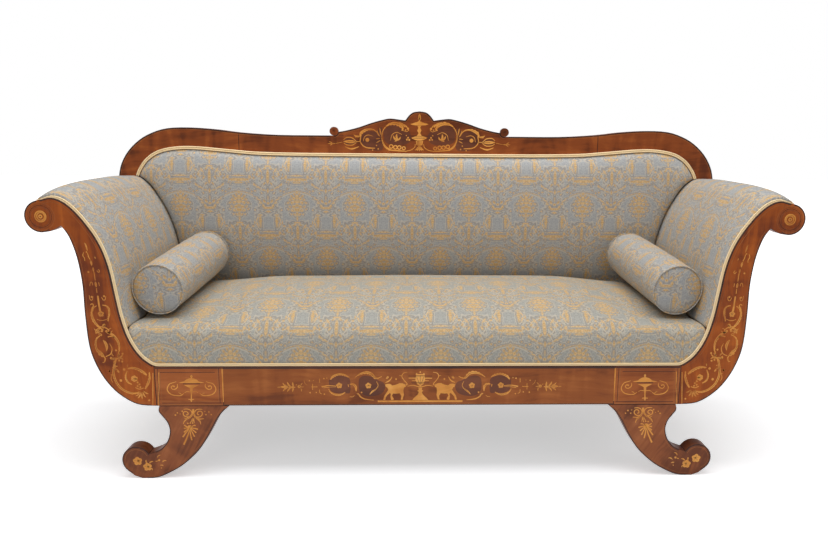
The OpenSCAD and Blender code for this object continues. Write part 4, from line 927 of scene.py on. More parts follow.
# The leg's edges and its foot's middle, in shares of the leg's top length and its height
FOOT_SHARE = (1.375, 0.25)
LEG_OUTER = [[1, 1], [1.015, 0.925], [0.961, 0.851], [0.907, 0.781], [0.878, 0.702], [0.878, 0.623],
             [0.917, 0.518], [1.015, 0.408], [1.17, 0.346]]
LEG_UNDER = [[1.307, 0], [1.161, 0], [1.054, 0.018], [0.902, 0.079], [0.737, 0.167],
             [0.576, 0.289], [0.454, 0.408], [0.351, 0.548], [0.263, 0.689], [0.185, 0.816],
             [0.107, 0.912], [0, 1]]


def leg_point(s):
    return [LEG_X + s[0] * LEG_TOP_L, s[1] * LEG_H]


def bolder(items, share):
    """The same drawing with its lines, leaves and dots made wider."""
    out = []
    for item in items:
        new = list(item)
        if item[0] == "line":
            new[2] = [w * share for w in item[2]]
        elif item[0] == "leaf":
            new[3] = item[3] * share
        elif item[0] in ("dot", "rose"):
            new[2] = item[2] * share
        out.append(tuple(new))
    return out


def edge_run(node, start, end):
    """Part of the outline of a solid's front face, with the face on the left of the run.

    It goes between the two points that lie farthest in the directions start and end.
    """
    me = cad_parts[node].data
    co = np.array([v.co for v in me.vertices])
    front = co[:, 1].min()
    key = [tuple(k) for k in np.round(co[:, [0, 2]] * 1e5).astype(int)]
    ahead = {}
    for p in me.polygons:
        if max(co[i, 1] for i in p.vertices) < front + 1e-5:
            ring = [key[i] for i in p.vertices]
            if p.normal.y > 0:
                ring.reverse()
            for a, b in zip(ring, ring[1:] + ring[:1]):
                ahead[a, b] = True
    steps = {a: b for a, b in ahead if (b, a) not in ahead}
    first = max(steps, key=lambda k: k[0] * start[0] + k[1] * start[1])
    last = max(steps, key=lambda k: k[0] * end[0] + k[1] * end[1])
    run = [first]
    while run[-1] != last:
        run.append(steps[run[-1]])
    return np.array(run) / 100


def annulus(c, r0, r1, kind, a0=0, a1=360):
    n = max(12, int(abs(a1 - a0) / 8))
    return kind, np.stack([arc(c, r1, a0, a1, n), arc(c, r0, a0, a1, n)], 1)


def rail_shapes():
    rail = RAIL_MIDDLE_INK + RAIL_SIDE_INK
    ends = (2 - RAIL_X, RAIL_X - 2)
    return draw(rail + mirror_items(rail)) + [
        (kind, np.array([[[x, upper], [x, lower]] for x in ends], float))
        for upper, lower, kind in RAIL_LINES]


def crest_shapes():
    shapes = draw(CREST_INK + mirror_items(CREST_INK))
    runs = [edge_run("cresting", (1, -1), (-1, -1)), edge_run("right_shoulder", (1, -1), (-1, 1)),
            edge_run("left_shoulder", (1, 1), (-1, -1))]
    top = resample(edge_run("crest_rail", (1, 1), (-1, 1)), 240)
    past = runs[0][:, 0].max() + KNOB_W
    for run in runs + [top[top[:, 0] > past], top[top[:, 0] < -past]]:
        shapes += edge_lines(run * [-1, 1], CREST_LINES, -1)
    return shapes


def leg_shapes():
    outer = smooth([leg_point(s) for s in LEG_OUTER], 8)[6:-4]
    under = smooth([leg_point(s) for s in LEG_UNDER], 8)[4:-5]
    leg = draw(bolder(LEG_INK, 1.3))
    leg += edge_lines(outer, LEG_LINES, -1) + edge_lines(under, LEG_LINES, -1)
    for r0, r1, kind in FOOT_CIRCLES:
        kind, shape = annulus(leg_point(FOOT_SHARE), r0, r1, kind, 155, -70)
        leg.append((kind, shape * [-1, 1]))
    return leg


def make_inlays():
    inlay("front_rail_marquetry", rail_shapes(), FRONT_Y)
    inlay("cresting_marquetry", crest_shapes(), BACK_FRAME_Y)
    block = draw(BLOCK_INK + mirror_items(BLOCK_INK, BLOCK_AXIS, 3))
    block += [(kind, band([a, b], [w, w])) for a, b, w, kind in BLOCK_LINES]
    facing = draw(bolder(FACING_INK, 1.25))
    facing += edge_lines(OUTER_EDGE[4:-6], FACING_OUTER_LINES)
    facing += edge_lines(INNER_EDGE[FINE:-2], FACING_INNER_LINES)
    centre = (-SCROLL_X, SCROLL_Z)
    facing += [annulus(centre, *circle) for circle in SCROLL_CIRCLES]
    # The dark line round the scroll's edge: partly the edge's own line, partly painted shade
    facing.append(annulus(centre, 41.2, 43.6, DARK, 100, 300))
    eye = [annulus(centre, *circle) for circle in ROUNDEL_CIRCLES]
    eye += [(GOLD, ring_points(centre, 5.8)), (DARK, ring_points(centre, 1.8, 12))]
    groove = [annulus(centre, *circle) for circle in GROOVE_CIRCLES]
    leg = leg_shapes()
    for side in ("left", "right"):
        for name, shapes, front_y in (
                ("corner_block", block, FRONT_Y), ("front_leg", leg, FRONT_Y),
                ("arm_facing", facing, FRONT_Y), ("roundel", eye, FRONT_Y),
                ("roundel_groove", groove, FRONT_Y + GROOVE_DEPTH)):
            inlay(f"{side}_{name}_marquetry", shapes, front_y, flipped=side == "right")


make_inlays()


# Upholstery

# The arm cover ends a little over its solid's lower end, where the seat cover rises to it
ARM_END_Z = 453
ARM_END_ROUND = 9
ARM_END_I = max(i for i, p in enumerate(INNER_EDGE) if p[1] > ARM_END_Z)


def seat_half(z):
    low = INNER_EDGE[ARM_END_I:][::-1]
    return np.interp(z, low[:, 1], low[:, 0]) - SOFT_GAP


def ease(t):
    t = np.clip(t, 0, 1)
    return t * t * (3 - 2 * t)


def swell(t):
    return np.sqrt(1 - (1 - np.clip(t, 0, 1)) ** 2)


def closed_quilt(upper, lower):
    """Two grids of points with the same rows and columns, joined round their edges."""
    rows, cols = upper.shape[:2]
    n = rows * cols
    verts = np.concatenate([upper.reshape(-1, 3), lower.reshape(-1, 3)])
    top = grid_faces(rows, cols)
    faces = top + [tuple(reversed([i + n for i in f])) for f in top]
    index = np.arange(n).reshape(rows, cols)
    rim = [*index[0], *index[1:, -1], *index[-1, -2::-1], *index[-2:0:-1, 0]]
    faces += [(b, a, a + n, b + n) for a, b in zip(rim, rim[1:] + rim[:1])]
    return verts, [tuple(int(i) for i in f) for f in faces]


BACK_CROWN = 46
SEAT_Y0, SEAT_Y1 = FRONT_Y + PIPING_T + SOFT_GAP, BACK_FRAME_Y - BACK_CROWN - SOFT_GAP
SEAT_BASE_Z = RAIL_TOP_Z + 5.8
# The sides' fall and round beside the arms, and at the front corners
SEAT_FALL, SEAT_SIDE_R = 19, 26
CORNER_FALL, CORNER_R = 2, 5
FALL_FROM_Z = 446
# Where the crown starts to fall towards the arms, and over how wide a band
CROWN_X, CROWN_BAND = 690, 230
# Hollow under the seat for its first stuffing: half length, front, back and top
HOLLOW_X, HOLLOW_Y0, HOLLOW_Y1, HOLLOW_Z = 762, -298, 212, 392.5
UNDER_SHARE = 0.93
SEAT_ROWS, SEAT_COLUMNS = 130, 141
# Distance back from the front, height beside the arms, height in the middle
SEAT_PROFILE = [(0, 348.5, 348.5), (-1.2, 366, 366), (-1.6, 386, 386), (-1.2, 406, 404), (1.0, 425, 419),
                (5.0, 443, 434), (13.5, 457, 449), (30, 465, 466), (56, 472, 486), (94, 482, 503),
                (142, 491.5, 515), (200, 500.5, 523.5), (270, 508, 528), (345, 512, 528.5), (430, 513, 525.5),
                (500, 509.5, 520), (525, 503.5, 514.5), (539, 495, 505), (546, 484, 491), (547.4, 470, 473)]
ARM_CROWN = 36
# Share of the way from scroll to crease, share of the crown
ARM_HEIGHTS = [[0, 0.06], [0.06, 0.42], [0.14, 0.82], [0.24, 1], [0.34, 0.96], [0.46, 0.72],
               [0.58, 0.50], [0.72, 0.40], [1, 0.36]]
FULLEST = 0.24


def from_table(table, value, steps):
    fine = smooth(table, steps)
    return np.interp(value, fine[:, 0], fine[:, 1])


def arm_height(share):
    return ARM_CROWN * from_table(ARM_HEIGHTS, share, 8)


def arm_edge():
    """The edge under the arm's cover, its normals, shares, lengths and the round of its end."""
    edge, n = INNER_EDGE[:ARM_END_I + 1], normals(INNER_EDGE)[:ARM_END_I + 1]
    along = lengths(edge)
    share = np.arange(ARM_END_I + 1) / CREASE_I
    return edge, n, share, along, swell((along[-1] - along) / ARM_END_ROUND)


def seat_side(z):
    """The seat's side: the frame's inner edge below, the arm's padding above."""
    edge, n, share, _, end = arm_edge()
    arm = (edge + n * (arm_height(share) * end)[:, None])[-60:][::-1]
    order = np.argsort(arm[:, 1])
    above = np.interp(z, arm[order, 1], arm[order, 0]) - 1.0
    return above if z > ARM_END_Z else seat_half(z)


def make_seat():
    profile = resample(smooth(SEAT_PROFILE, 8), SEAT_ROWS)
    along = lengths(profile[:, [0, 2]])
    # Columns from -1 to 1, closer together near the sides
    s = np.sin(np.linspace(-1, 1, SEAT_COLUMNS) * math.pi / 2 * 0.86) / math.sin(math.pi / 2 * 0.86)
    s = np.sign(s) * (0.35 * np.abs(s) + 0.65 * (1 - (1 - np.abs(s)) ** 1.25))
    top = np.zeros((len(profile), len(s), 3))
    for r, (dy, z_side, z_middle) in enumerate(profile):
        corner = ease((dy - 15) / 120)
        fall = CORNER_FALL + (SEAT_FALL - CORNER_FALL) * corner
        radius = CORNER_R + (SEAT_SIDE_R - CORNER_R) * corner
        weight = ease((z_side - RAIL_TOP_Z) / (FALL_FROM_Z - RAIL_TOP_Z))
        half = seat_side(z_side - weight * (fall + radius))
        d = (1 - np.abs(s)) * half
        drop = radius - np.sqrt(np.maximum(radius ** 2 - np.maximum(radius - d, 0) ** 2, 0))
        x = s * half
        full = z_side + (z_middle - z_side) * ease((CROWN_X - np.abs(x)) / CROWN_BAND)
        z = full - weight * (fall * s ** 4 + drop)
        # Slight unevenness
        z = z + 1.0 * np.sin(x / 205 + 0.7) * weight + 0.6 * np.sin(x / 83 + dy / 60) * weight
        top[r, :, 0], top[r, :, 1], top[r, :, 2] = x, SEAT_Y0 + dy, z
    low = top * [UNDER_SHARE, 1, 1]
    low[..., 1] = np.clip(low[..., 1], SEAT_Y0 + 1, SEAT_Y1 - 1)
    inside = ((np.abs(low[..., 0]) < HOLLOW_X) & (low[..., 1] > HOLLOW_Y0)
              & (low[..., 1] < HOLLOW_Y1))
    low[..., 2] = np.where(inside, HOLLOW_Z, SEAT_BASE_Z)
    verts, faces = closed_quilt(top, low)
    v = np.repeat((along[-1] - along)[:, None], len(s), 1)
    cloth = np.stack([top[..., 0].ravel(), v.ravel()], 1)
    ob = add_piece("seat_cushion_cover", verts, faces, SEAT_CLOTH,
                   cloth=np.concatenate([cloth, cloth]))
    cushion("seat_cushion")


make_seat()

# Arms
ARM_Y0, ARM_Y1 = FRONT_Y + PIPING_T + SOFT_GAP, BACK_FRAME_Y - SOFT_GAP
# Depth, share of the padding's full height there
ARM_SWELL = [[-314, 0.35], [-300, 0.47], [-280, 0.60], [-250, 0.73], [-200, 0.87], [-120, 0.98], [-40, 1],
             [60, 1], [150, 0.95], [220, 0.86], [281, 0.76]]


# Rows of the arm's cover lie closer together in front of this
FINE_ROWS_Y = -262


def arm_swell(y):
    return from_table(ARM_SWELL, y, 6)


def make_arms():
    edge, n, share, along, end = arm_edge()
    rows = np.concatenate([np.linspace(ARM_Y0, FINE_ROWS_Y, 12),
                           np.linspace(FINE_ROWS_Y, ARM_Y1, 42)[1:]])
    top = np.zeros((len(rows), len(edge), 3))
    low = top.copy()
    for r, y in enumerate(rows):
        low_end = ease((share - 0.62) / 0.3)
        border = arm_swell(y) * (1 - low_end) + low_end * min(1, arm_swell(y) + 0.2)
        h = arm_height(share) * border * end
        ripple = 0.5 * np.sin(along / 47 + y / 90) * ease((y - ARM_Y0) / 80) * ease(along / 80) * end
        h = np.maximum(h + ripple, 2 * SOFT_GAP)
        p = edge + n * h[:, None]
        q = edge + n * SOFT_GAP
        top[r] = np.stack([p[:, 0], np.full(len(p), y), p[:, 1]], 1)
        low[r] = np.stack([q[:, 0], np.full(len(q), y), q[:, 1]], 1)
    verts, faces = closed_quilt(top, low)
    across = lengths(np.stack([rows, arm_height(FULLEST) * arm_swell(rows)], 1))
    u = np.repeat(across[:, None], len(edge), 1)
    v = np.repeat(along[None, :], len(rows), 0)
    cloth = np.stack([u.ravel(), v.ravel()], 1)
    pieces = both_sides("arm_cushion_cover", verts, flip(faces), ARM_CLOTH,
                        np.concatenate([cloth, cloth]))
    for side, ob in pieces.items():
        cushion(f"{side}_arm_cushion")


make_arms()


def extruded(name, outline, y0, y1, steps=24, cloth_start=0.0):
    """A closed outline (x, z) drawn out from y0 to y1, on both sides of the sofa."""
    ring = np.array(outline)
    ys = np.linspace(y0, y1, steps + 1)
    closed = np.concatenate([ring, ring[:1]])
    walls = [[p[0], y, p[1]] for y in ys for p in closed]
    caps = [[p[0], y, p[1]] for y in (ys[0], ys[-1]) for p in ring]
    cloth = [[y, a + cloth_start] for y in ys for a in lengths(closed)] + [*ring.tolist()] * 2
    front, back = len(walls), len(walls) + len(ring)
    faces = grid_faces(len(ys), len(closed))
    tris = flat_faces(ring)
    faces += [tuple(front + i for i in f) for f in tris]
    faces += [tuple(back + i for i in reversed(f)) for f in tris]
    out = both_sides(name, walls + caps, faces, ARM_CLOTH, cloth)
    for ob in out.values():
        bm = bmesh.new()
        bm.from_mesh(ob.data)
        bmesh.ops.remove_doubles(bm, verts=bm.verts, dist=1e-6)
        bmesh.ops.recalc_face_normals(bm, faces=bm.faces)
        mark_sharp(bm)
        bm.to_mesh(ob.data)
        bm.free()
    return out


# The last point of the inner edge that the padding round the scroll reaches
NECK_I = 3 * FINE
COVER_Y0 = FACING_BACK_Y + 0.2


def make_scroll_padding():
    outer = arc(SCROLL_C, SCROLL_R - SOFT_GAP, -130, 80, 60)
    over = offset(INNER_EDGE, -SOFT_GAP)[FINE // COARSE:NECK_I + 1]
    neck = offset(INNER_EDGE, 1 - SCROLL_WEB_DEPTH)[NECK_I:NECK_I + 1]
    turn = np.degrees(np.arctan2(neck[0, 1] - SCROLL_Z, neck[0, 0] - SCROLL_X)) % 360
    inner = arc(SCROLL_C, SCROLL_RAIL_R + 0.4, min(turn, 178), -129, 40)
    outline = np.concatenate([outer, over, neck, inner])
    out = extruded("scroll_padding_cover", outline, COVER_Y0, BACK_FRAME_Y - 0.6, 20, -160)
    for side, ob in out.items():
        cushion(f"{side}_scroll_padding")


def make_outside_arm_cloths():
    path = OUTER_EDGE[FINE:len(OUTER_EDGE) - 1 - FINE // COARSE]
    outline = np.concatenate([offset(path, -2), offset(path, -3)[::-1]])
    out = extruded("outside_arm_cover", outline, COVER_Y0, BACK_FRAME_Y - 0.2)
    for side, ob in out.items():
        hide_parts(f"{side}_outside_arm_cloth")


make_scroll_padding()
make_outside_arm_cloths()

# Back
CUSHION_GAP = 1.0
CUSHION_EDGE_Y = 252
CUSHION_LOW_Z = RAIL_TOP_Z + 82 + 50 / 3
# The cushion's rings shrink to a level line, which branches up towards the upper corners
SPINE_X = 704
SPINE_Z = CUSHION_LOW_Z + (CREST_UNDER_Z - CUSHION_LOW_Z) * 0.52
BRANCH_END = (850, 865)
INNERMOST = 0.97
SIDE_POINTS, TOP_POINTS = 130, 110
# Distance from the edge in mm, share of the padding's full depth
TOP_EDGE_SHARES = [[0, 0.12], [3, 0.34], [10, 0.58], [22, 0.77], [43, 0.91], [82, 0.98], [144, 1],
                   [210, 1], [400, 1]]
SIDE_EDGE_SHARES = [[0, 0.40], [3, 0.58], [10, 0.76], [22, 0.88], [43, 0.96], [82, 0.99], [144, 1],
                    [210, 1], [400, 1], [1200, 1]]
# The face leans away above and below this height
LEAN_Z, LEAN_TOP, LEAN_LOW = 690, 16, 34
BACK_CLOTH_PITCH = 1.037


def arm_line(y, gap):
    """The arm cushion's surface at depth y, from scroll to crease, with a gap over it."""
    height = arm_height(np.arange(CREASE_I + 1) / CREASE_I) * arm_swell(y) + gap
    return INNER_EDGE[:CREASE_I + 1] + normals(INNER_EDGE)[:CREASE_I + 1] * height[:, None]


def cut_where_met(a, b):
    """Two curves that cross: a from the crossing on, and b up to it."""
    for i in range(len(a) - 1):
        for j in range(len(b) - 1):
            m = np.array([a[i + 1] - a[i], b[j] - b[j + 1]]).T
            if abs(np.linalg.det(m)) > 1e-9:
                t = np.linalg.solve(m, b[j] - a[i])
                if 0 <= t[0] <= 1 and 0 <= t[1] <= 1:
                    met = a[i] + (a[i + 1] - a[i]) * t[0]
                    return np.concatenate([[met], a[i + 1:]]), np.concatenate([b[:j + 1], [met]])


def whole_ring(half):
    """The ring of a right half, whose first and last points lie in the middle."""
    return np.concatenate([half, (half[1:-1] * [-1, 1])[::-1]])


def back_outline():
    """Outline of the cushion, where its rings shrink to, and its right half's two edges."""
    side, top = cut_where_met(arm_line(CUSHION_EDGE_Y, CUSHION_GAP), offset(CREST_LINE, PIPING_W + 0.9))
    sides = np.concatenate([[[0, CUSHION_LOW_Z], [side[-1][0] - CUSHION_GAP, CUSHION_LOW_Z]],
                            side[::-1]])
    half = np.concatenate([resample(sides, SIDE_POINTS), resample(top[::-1], TOP_POINTS)[1:]])
    corner = half[SIDE_POINTS - 1]
    by_side = (half[:, 1] - SPINE_Z) / (corner[1] - SPINE_Z)
    by_top = (half[:, 0] - SPINE_X) / (corner[0] - SPINE_X)
    rise = np.where(np.arange(len(half)) < SIDE_POINTS, by_side, by_top)
    rise = np.clip(rise, 0, 1)[:, None]
    inner = np.stack([np.clip(half[:, 0], 0, SPINE_X), np.full(len(half), SPINE_Z)], 1)
    inner = inner + rise * (np.array(BRANCH_END) - [SPINE_X, SPINE_Z])
    return whole_ring(half), whole_ring(inner), top, sides


def edge_share(points, curve, table):
    """Share of the full depth at each point, from its distance to a curve of the right half."""
    p = (points * [0, 1] + np.abs(points * [1, 0]))[:, None, :]
    a, run = curve[None, :-1], np.diff(curve, axis=0)[None]
    t = np.clip(((p - a) * run).sum(2) / np.maximum((run ** 2).sum(2), 1e-9), 0, 1)
    gap = np.sqrt(((p - a - run * t[:, :, None]) ** 2).sum(2).min(1))
    return from_table(table, gap, 8)


def strip_fill(chain, points):
    """Triangles between the two ends of a folded chain of points, worked inwards to its fold."""
    low, high, faces = 0, len(chain) - 1, []
    while high - low > 1:
        a, b, c, d = (points[chain[k]] for k in (low, low + 1, high - 1, high))
        if np.linalg.norm(b - d) <= np.linalg.norm(a - c):
            faces.append((chain[low], chain[low + 1], chain[high]))
            low += 1
        else:
            faces.append((chain[low], chain[high - 1], chain[high]))
            high -= 1
    return faces


def make_back():
    outline, spine, top_curve, side_curve = back_outline()
    shares = np.concatenate([[0, 0.008, 0.02], np.linspace(0.2, 1, 34) ** 1.9])
    # Rings of a flat back, then of the face: share of the way to the spine, depth
    rings = [(0.012, -4.3), (0.01, -SOFT_GAP), (0, -SOFT_GAP)] + [(s, None) for s in shares]
    verts, cloth = [], []
    for s, y in rings:
        q = outline + (spine - outline) * min(s, INNERMOST)
        short = np.hypot(1 - edge_share(q, top_curve, TOP_EDGE_SHARES),
                         1 - edge_share(q, side_curve, SIDE_EDGE_SHARES))
        lean = (LEAN_TOP * np.clip((q[:, 1] - LEAN_Z) / 230, 0, 1) ** 2
                + LEAN_LOW * np.clip((LEAN_Z - q[:, 1]) / 200, 0, 1) ** 2)
        uneven = np.sin(q[:, 0] / 190 + 1.0) * np.sin(q[:, 1] / 70)
        uneven *= ease(np.abs(q[:, 1] - SPINE_Z) / 60)
        deep = np.maximum(BACK_CROWN * (1 - short) - lean - uneven, 1.0)
        y = BACK_FRAME_Y + (np.full(len(q), y) if y else -deep)
        verts.append(np.stack([q[:, 0], y, q[:, 1]], 1))
        cloth.append(np.stack([q[:, 0], -BACK_CLOTH_PITCH * q[:, 1]], 1))
    n = len(outline)
    faces = grid_faces(len(rings), n, wrap=True)
    faces.append(tuple(range(n)))
    last, top_middle = (len(rings) - 1) * n, n // 2
    right = list(range(last, last + top_middle + 1))
    left = [last] + list(range(last + n - 1, last + top_middle - 1, -1))
    verts = np.concatenate(verts)
    faces += strip_fill(right, verts) + strip_fill(left, verts)
    ob = add_piece("back_cushion_cover", verts, flip(faces), BACK_CLOTH,
                   cloth=np.concatenate(cloth))
    turn_out(ob.data)
    cushion("back_cushion")


make_back()


# Double piping: two cords side by side

def tube(path, y, radius, sides=10):
    """Rings round a path (x, z) at depth y, with a radius for each point."""
    n = normals(path)
    a = np.linspace(0, 2 * math.pi, sides, endpoint=False)
    rings = []
    for p, d, r in zip(path, n, radius):
        rings.append([[p[0] + d[0] * r * math.cos(t), y + r * math.sin(t),
                       p[1] + d[1] * r * math.cos(t)] for t in a])
    verts = np.array(rings).reshape(-1, 3)
    faces = grid_faces(len(path), sides, wrap=True)
    last = (len(path) - 1) * sides
    faces += [tuple(reversed(range(sides))), tuple(last + i for i in range(sides))]
    return verts, faces


def relaxed(path, times):
    p = path.copy()
    for _ in range(times):
        p[1:-1] = 0.25 * p[:-2] + 0.5 * p[1:-1] + 0.25 * p[2:]
    return p


def double_piping(name, edge, side, y, node, taper, radius):
    """Two cords on a side of an edge; taper is their size at the ends as a share of the middle's."""
    whole = np.concatenate([edge, (edge[:-1] if abs(edge[-1][0]) < 1 else edge)[::-1] * [-1, 1]])
    whole = relaxed(resample(whole, 620), 6)
    verts, faces = [], []
    s = lengths(whole)
    ramp = ease(np.minimum(s, s[-1] - s) / 70)[:, None]
    size = taper + (1 - taper) * ramp
    for d in (radius + 0.2, 3 * radius + 0.4):
        line = whole + normals(whole) * side * (1.4 + (d - 1.4) * size)
        v, f = tube(line, y, radius * (0.5 + 0.5 * size[:, 0]))
        faces += [tuple(i + sum(len(w) for w in verts) for i in g) for g in f]
        verts.append(v)
    ob = add_piece(name, np.concatenate(verts), faces, CORD)
    turn_out(ob.data)
    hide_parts(node)


double_piping("front_double_piping", INNER_EDGE, 1, FRONT_Y + 3.05, "front_piping", 0.0, 2.2)
CREST_RUN = cut_where_met(arm_line(BACK_FRAME_Y - PIPING_T / 2, 1.5), CREST_LINE)[1][::-1]
double_piping("back_double_piping", CREST_RUN, -1, BACK_FRAME_Y - 3.05, "back_piping", 1.0, 2.8)


# Bolsters

BOLSTER_L, BOLSTER_R, WELT_R = 476, 79, 2.0
CASE_HALF = BOLSTER_L / 2 - 3
# Shares of the radius and of the half length, from the end's middle to the barrel's middle
SEAM_SHARE = (0.93, 0.962)
CASE_PROFILE = [(0, 1), (0.3, 0.998), (0.6, 0.991), (0.82, 0.978), SEAM_SHARE, (0.965, 0.92),
                (0.985, 0.80), (0.996, 0.55), (1, 0.25), (1, 0)]
BOLSTER_TURN, BOLSTER_TILT, BOLSTER_LIFT = 3.2, 4.6, 0.007
# Pleats reach this far from the ends
PLEAT_L = 42
# Place on the cloth of the ends' middle
END_CLOTH = np.array([40, 60])
CASE_SIDES, PAD_SIDES = 96, 32


def bolster_frame():
    low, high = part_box("right_bolster_case")
    c = (low + high) / 2
    return (Matrix.Translation(c + Vector((0, 0, BOLSTER_LIFT)))
            @ Matrix.Rotation(math.radians(BOLSTER_TURN), 4, "Z")
            @ Matrix.Rotation(math.radians(BOLSTER_TILT - 90), 4, "X"))


def bolster_case_mesh():
    """Barrel and two ends, from one seam along the underside; angles start there."""
    turns = np.linspace(0, 2 * math.pi, CASE_SIDES + 1)
    end = [p for p in CASE_PROFILE if p[1] >= SEAM_SHARE[1]]
    barrel = smooth([p for p in CASE_PROFILE if p[1] <= SEAM_SHARE[1]], 5)
    barrel = np.concatenate([barrel, barrel[:-1][::-1] * [1, -1]])
    verts, cloth, faces = [], [], []
    run = 0.0
    for k, (r, h) in enumerate(barrel):
        if k:
            last_r, last_h = barrel[k - 1]
            run += math.hypot((r - last_r) * BOLSTER_R, (h - last_h) * CASE_HALF)
        near = max(0.0, 1 - (1 - abs(h)) * CASE_HALF / PLEAT_L)
        for t in turns:
            pleat = 0.9 * near * math.sin(t * 19 + 2 * math.sin(3 * t))
            sag = 1.2 * math.cos(t) * (1 - near)
            rr = r * BOLSTER_R - 0.6 + pleat - max(0.0, sag)
            verts.append([rr * math.sin(t), rr * math.cos(t), h * CASE_HALF])
            cloth.append([run, t * BOLSTER_R])
    faces += grid_faces(len(barrel), CASE_SIDES + 1)
    disc = smooth(end, 4)
    for sign in (1, -1):
        start = len(verts)
        for r, h in disc[1:]:
            for t in turns[:-1]:
                rr = r * BOLSTER_R - (0.6 if r > 0.9 else 0)
                dip = 1.0 * math.sin(5 * t + sign) * r * (1 - r) * 2
                verts.append([rr * math.sin(t), rr * math.cos(t), sign * (h * CASE_HALF + dip)])
                cloth.append(END_CLOTH + [rr * math.sin(t), rr * math.cos(t)])
        f = grid_faces(len(disc) - 1, CASE_SIDES, start, wrap=True)
        verts.append([0, 0, sign * CASE_HALF])
        cloth.append(END_CLOTH)
        f += [(start + (i + 1) % CASE_SIDES, start + i, len(verts) - 1) for i in range(CASE_SIDES)]
        faces += flip(f) if sign > 0 else f
    return verts, faces, cloth


def ring_tube(radius, h, r, sides=80, around=10):
    verts = []
    for t in np.arange(sides) * 2 * math.pi / sides:
        for a in np.arange(around) * 2 * math.pi / around:
            rr = radius + r * math.cos(a)
            verts.append([rr * math.cos(t), rr * math.sin(t), h + r * math.sin(a)])
    faces = grid_faces(sides + 1, around, wrap=True)
    return verts, [tuple(i % len(verts) for i in (a, d, c, b)) for a, b, c, d in faces]


def pad_mesh():
    """The case's own form, a little smaller."""
    radius, half = BOLSTER_R - 2.2, CASE_HALF - 2
    profile = CASE_PROFILE[1:] + [(r, -h) for r, h in CASE_PROFILE[1:-1][::-1]]
    verts = [[r * radius * math.sin(t), r * radius * math.cos(t), h * half] for r, h in profile
             for t in np.linspace(0, 2 * math.pi, PAD_SIDES, endpoint=False)]
    first = tuple(range(PAD_SIDES))
    last = tuple(len(verts) - PAD_SIDES + i for i in first)
    return verts, grid_faces(len(profile), PAD_SIDES, wrap=True) + [first[::-1], last]


def welt_mesh():
    """A cord round each end, on the case's seam."""
    rim = (WELT_R + SOFT_GAP) * math.cos(math.radians(45))
    verts, faces = [], []
    for sign in (1, -1):
        v, f = ring_tube(SEAM_SHARE[0] * BOLSTER_R + rim, sign * (SEAM_SHARE[1] * CASE_HALF + rim),
                         WELT_R)
        faces += [tuple(i + len(verts) for i in g) for g in f]
        verts += v
    return verts, faces


def make_bolsters():
    matrix = bolster_frame()
    case, case_faces, case_cloth = bolster_case_mesh()
    welts, welt_faces = welt_mesh()
    pad, pad_faces = pad_mesh()
    welt_cloth = [v[:2] for v in welts]
    parts = (("cover", "case", case, case_faces, BOLSTER_CLOTH, case_cloth),
             ("welt_cords", "welts", welts, welt_faces, BOLSTER_CLOTH, welt_cloth),
             ("filling", "pad", pad, pad_faces, JUTE, None))
    for side in ("left", "right"):
        for name, node, local, faces, mat, cloth in parts:
            verts = np.array([(matrix @ (Vector(v) * MM)) / MM for v in local])
            if side == "left":
                verts, faces = mirrored(verts), flip(faces)
            ob = add_piece(f"{side}_bolster_{name}", verts, faces, mat, f"{side}_bolster", cloth)
            turn_out(ob.data)
            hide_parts(f"{side}_bolster_{node}")


make_bolsters()


# Webs, stuffing and the cloths that close the frame

def soft_copy(node, name, mat=JUTE, rounding=0):
    """A piece with the solid's own shape; rounding softens it inside its own box."""
    bm = solid_copy(node)
    if rounding:
        bmesh.ops.triangulate(bm, faces=bm.faces)
        for _ in range(4):
            long_edges = [e for e in bm.edges if e.calc_length() > 0.05]
            if long_edges:
                bmesh.ops.subdivide_edges(bm, edges=long_edges, cuts=1, use_grid_fill=True)
        bmesh.ops.triangulate(bm, faces=bm.faces)
        for _ in range(rounding):
            bmesh.ops.smooth_vert(bm, verts=bm.verts, factor=0.5, use_axis_x=True, use_axis_y=True,
                                  use_axis_z=True)
    return piece_from(bm, name, node, (mat,))


for node in ("seat_cross_webs", "seat_long_webs"):
    soft_copy(node, node + "_straps")
for node in ("back_webbing", "left_arm_webbing", "right_arm_webbing"):
    soft_copy(node, node + "_strap")
for node, rounding in (("seat_stuffing", 2), ("left_arm_stuffing", 0), ("right_arm_stuffing", 0)):
    soft_copy(node, node + "_pad", rounding=rounding)


def flat_sheet(node, mat):
    ob = soft_copy(node, node + "_sheet", mat)
    lay_cloth(ob.data, np.array([v.co[:2] for v in ob.data.vertices]) * [1, -1])


flat_sheet("seat_hessian", JUTE)
flat_sheet("dust_cover", DUST_CLOTH)


def make_outside_back_cover():
    """A flat cloth behind the back, cut to the rear posts, the crest rail and the back rail."""
    side, top = cut_where_met(offset(INNER_EDGE, 0.4), offset(CREST_LINE, CREST_REBATE + 0.4))
    low_z = RAIL_TOP_Z + 0.4
    half = np.concatenate([side[::-1], top[::-1]])
    half = half[half[:, 1] > low_z]
    outline = whole_ring(np.concatenate([[[0, low_z], [half[0, 0], low_z]], half]))
    n = len(outline)
    y0, y1 = (BACK_FRAME_Y + UPRIGHT_T + d for d in (0.1, 0.9))
    verts = np.array([(x, y, z) for y in (y0, y1) for x, z in outline])
    tris = flat_faces(outline)
    faces = tris + [tuple(n + i for i in reversed(t)) for t in tris]
    faces += [(i, (i + 1) % n, n + (i + 1) % n, n + i) for i in range(n)]
    ob = add_piece("outside_back_cover", verts, faces, BACK_CLOTH,
                   cloth=verts[:, [0, 2]] * [1, -1], flat_shade=True)
    turn_out(ob.data)
    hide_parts("outside_back_cloth")


make_outside_back_cover()


# Floor, light and camera

FLOOR_HALF = 14.0
# What the camera sees of the floor's glow near the sofa, and the world's light on it
FLOOR_GLOW, WORLD_LIGHT = 0.47, 0.32


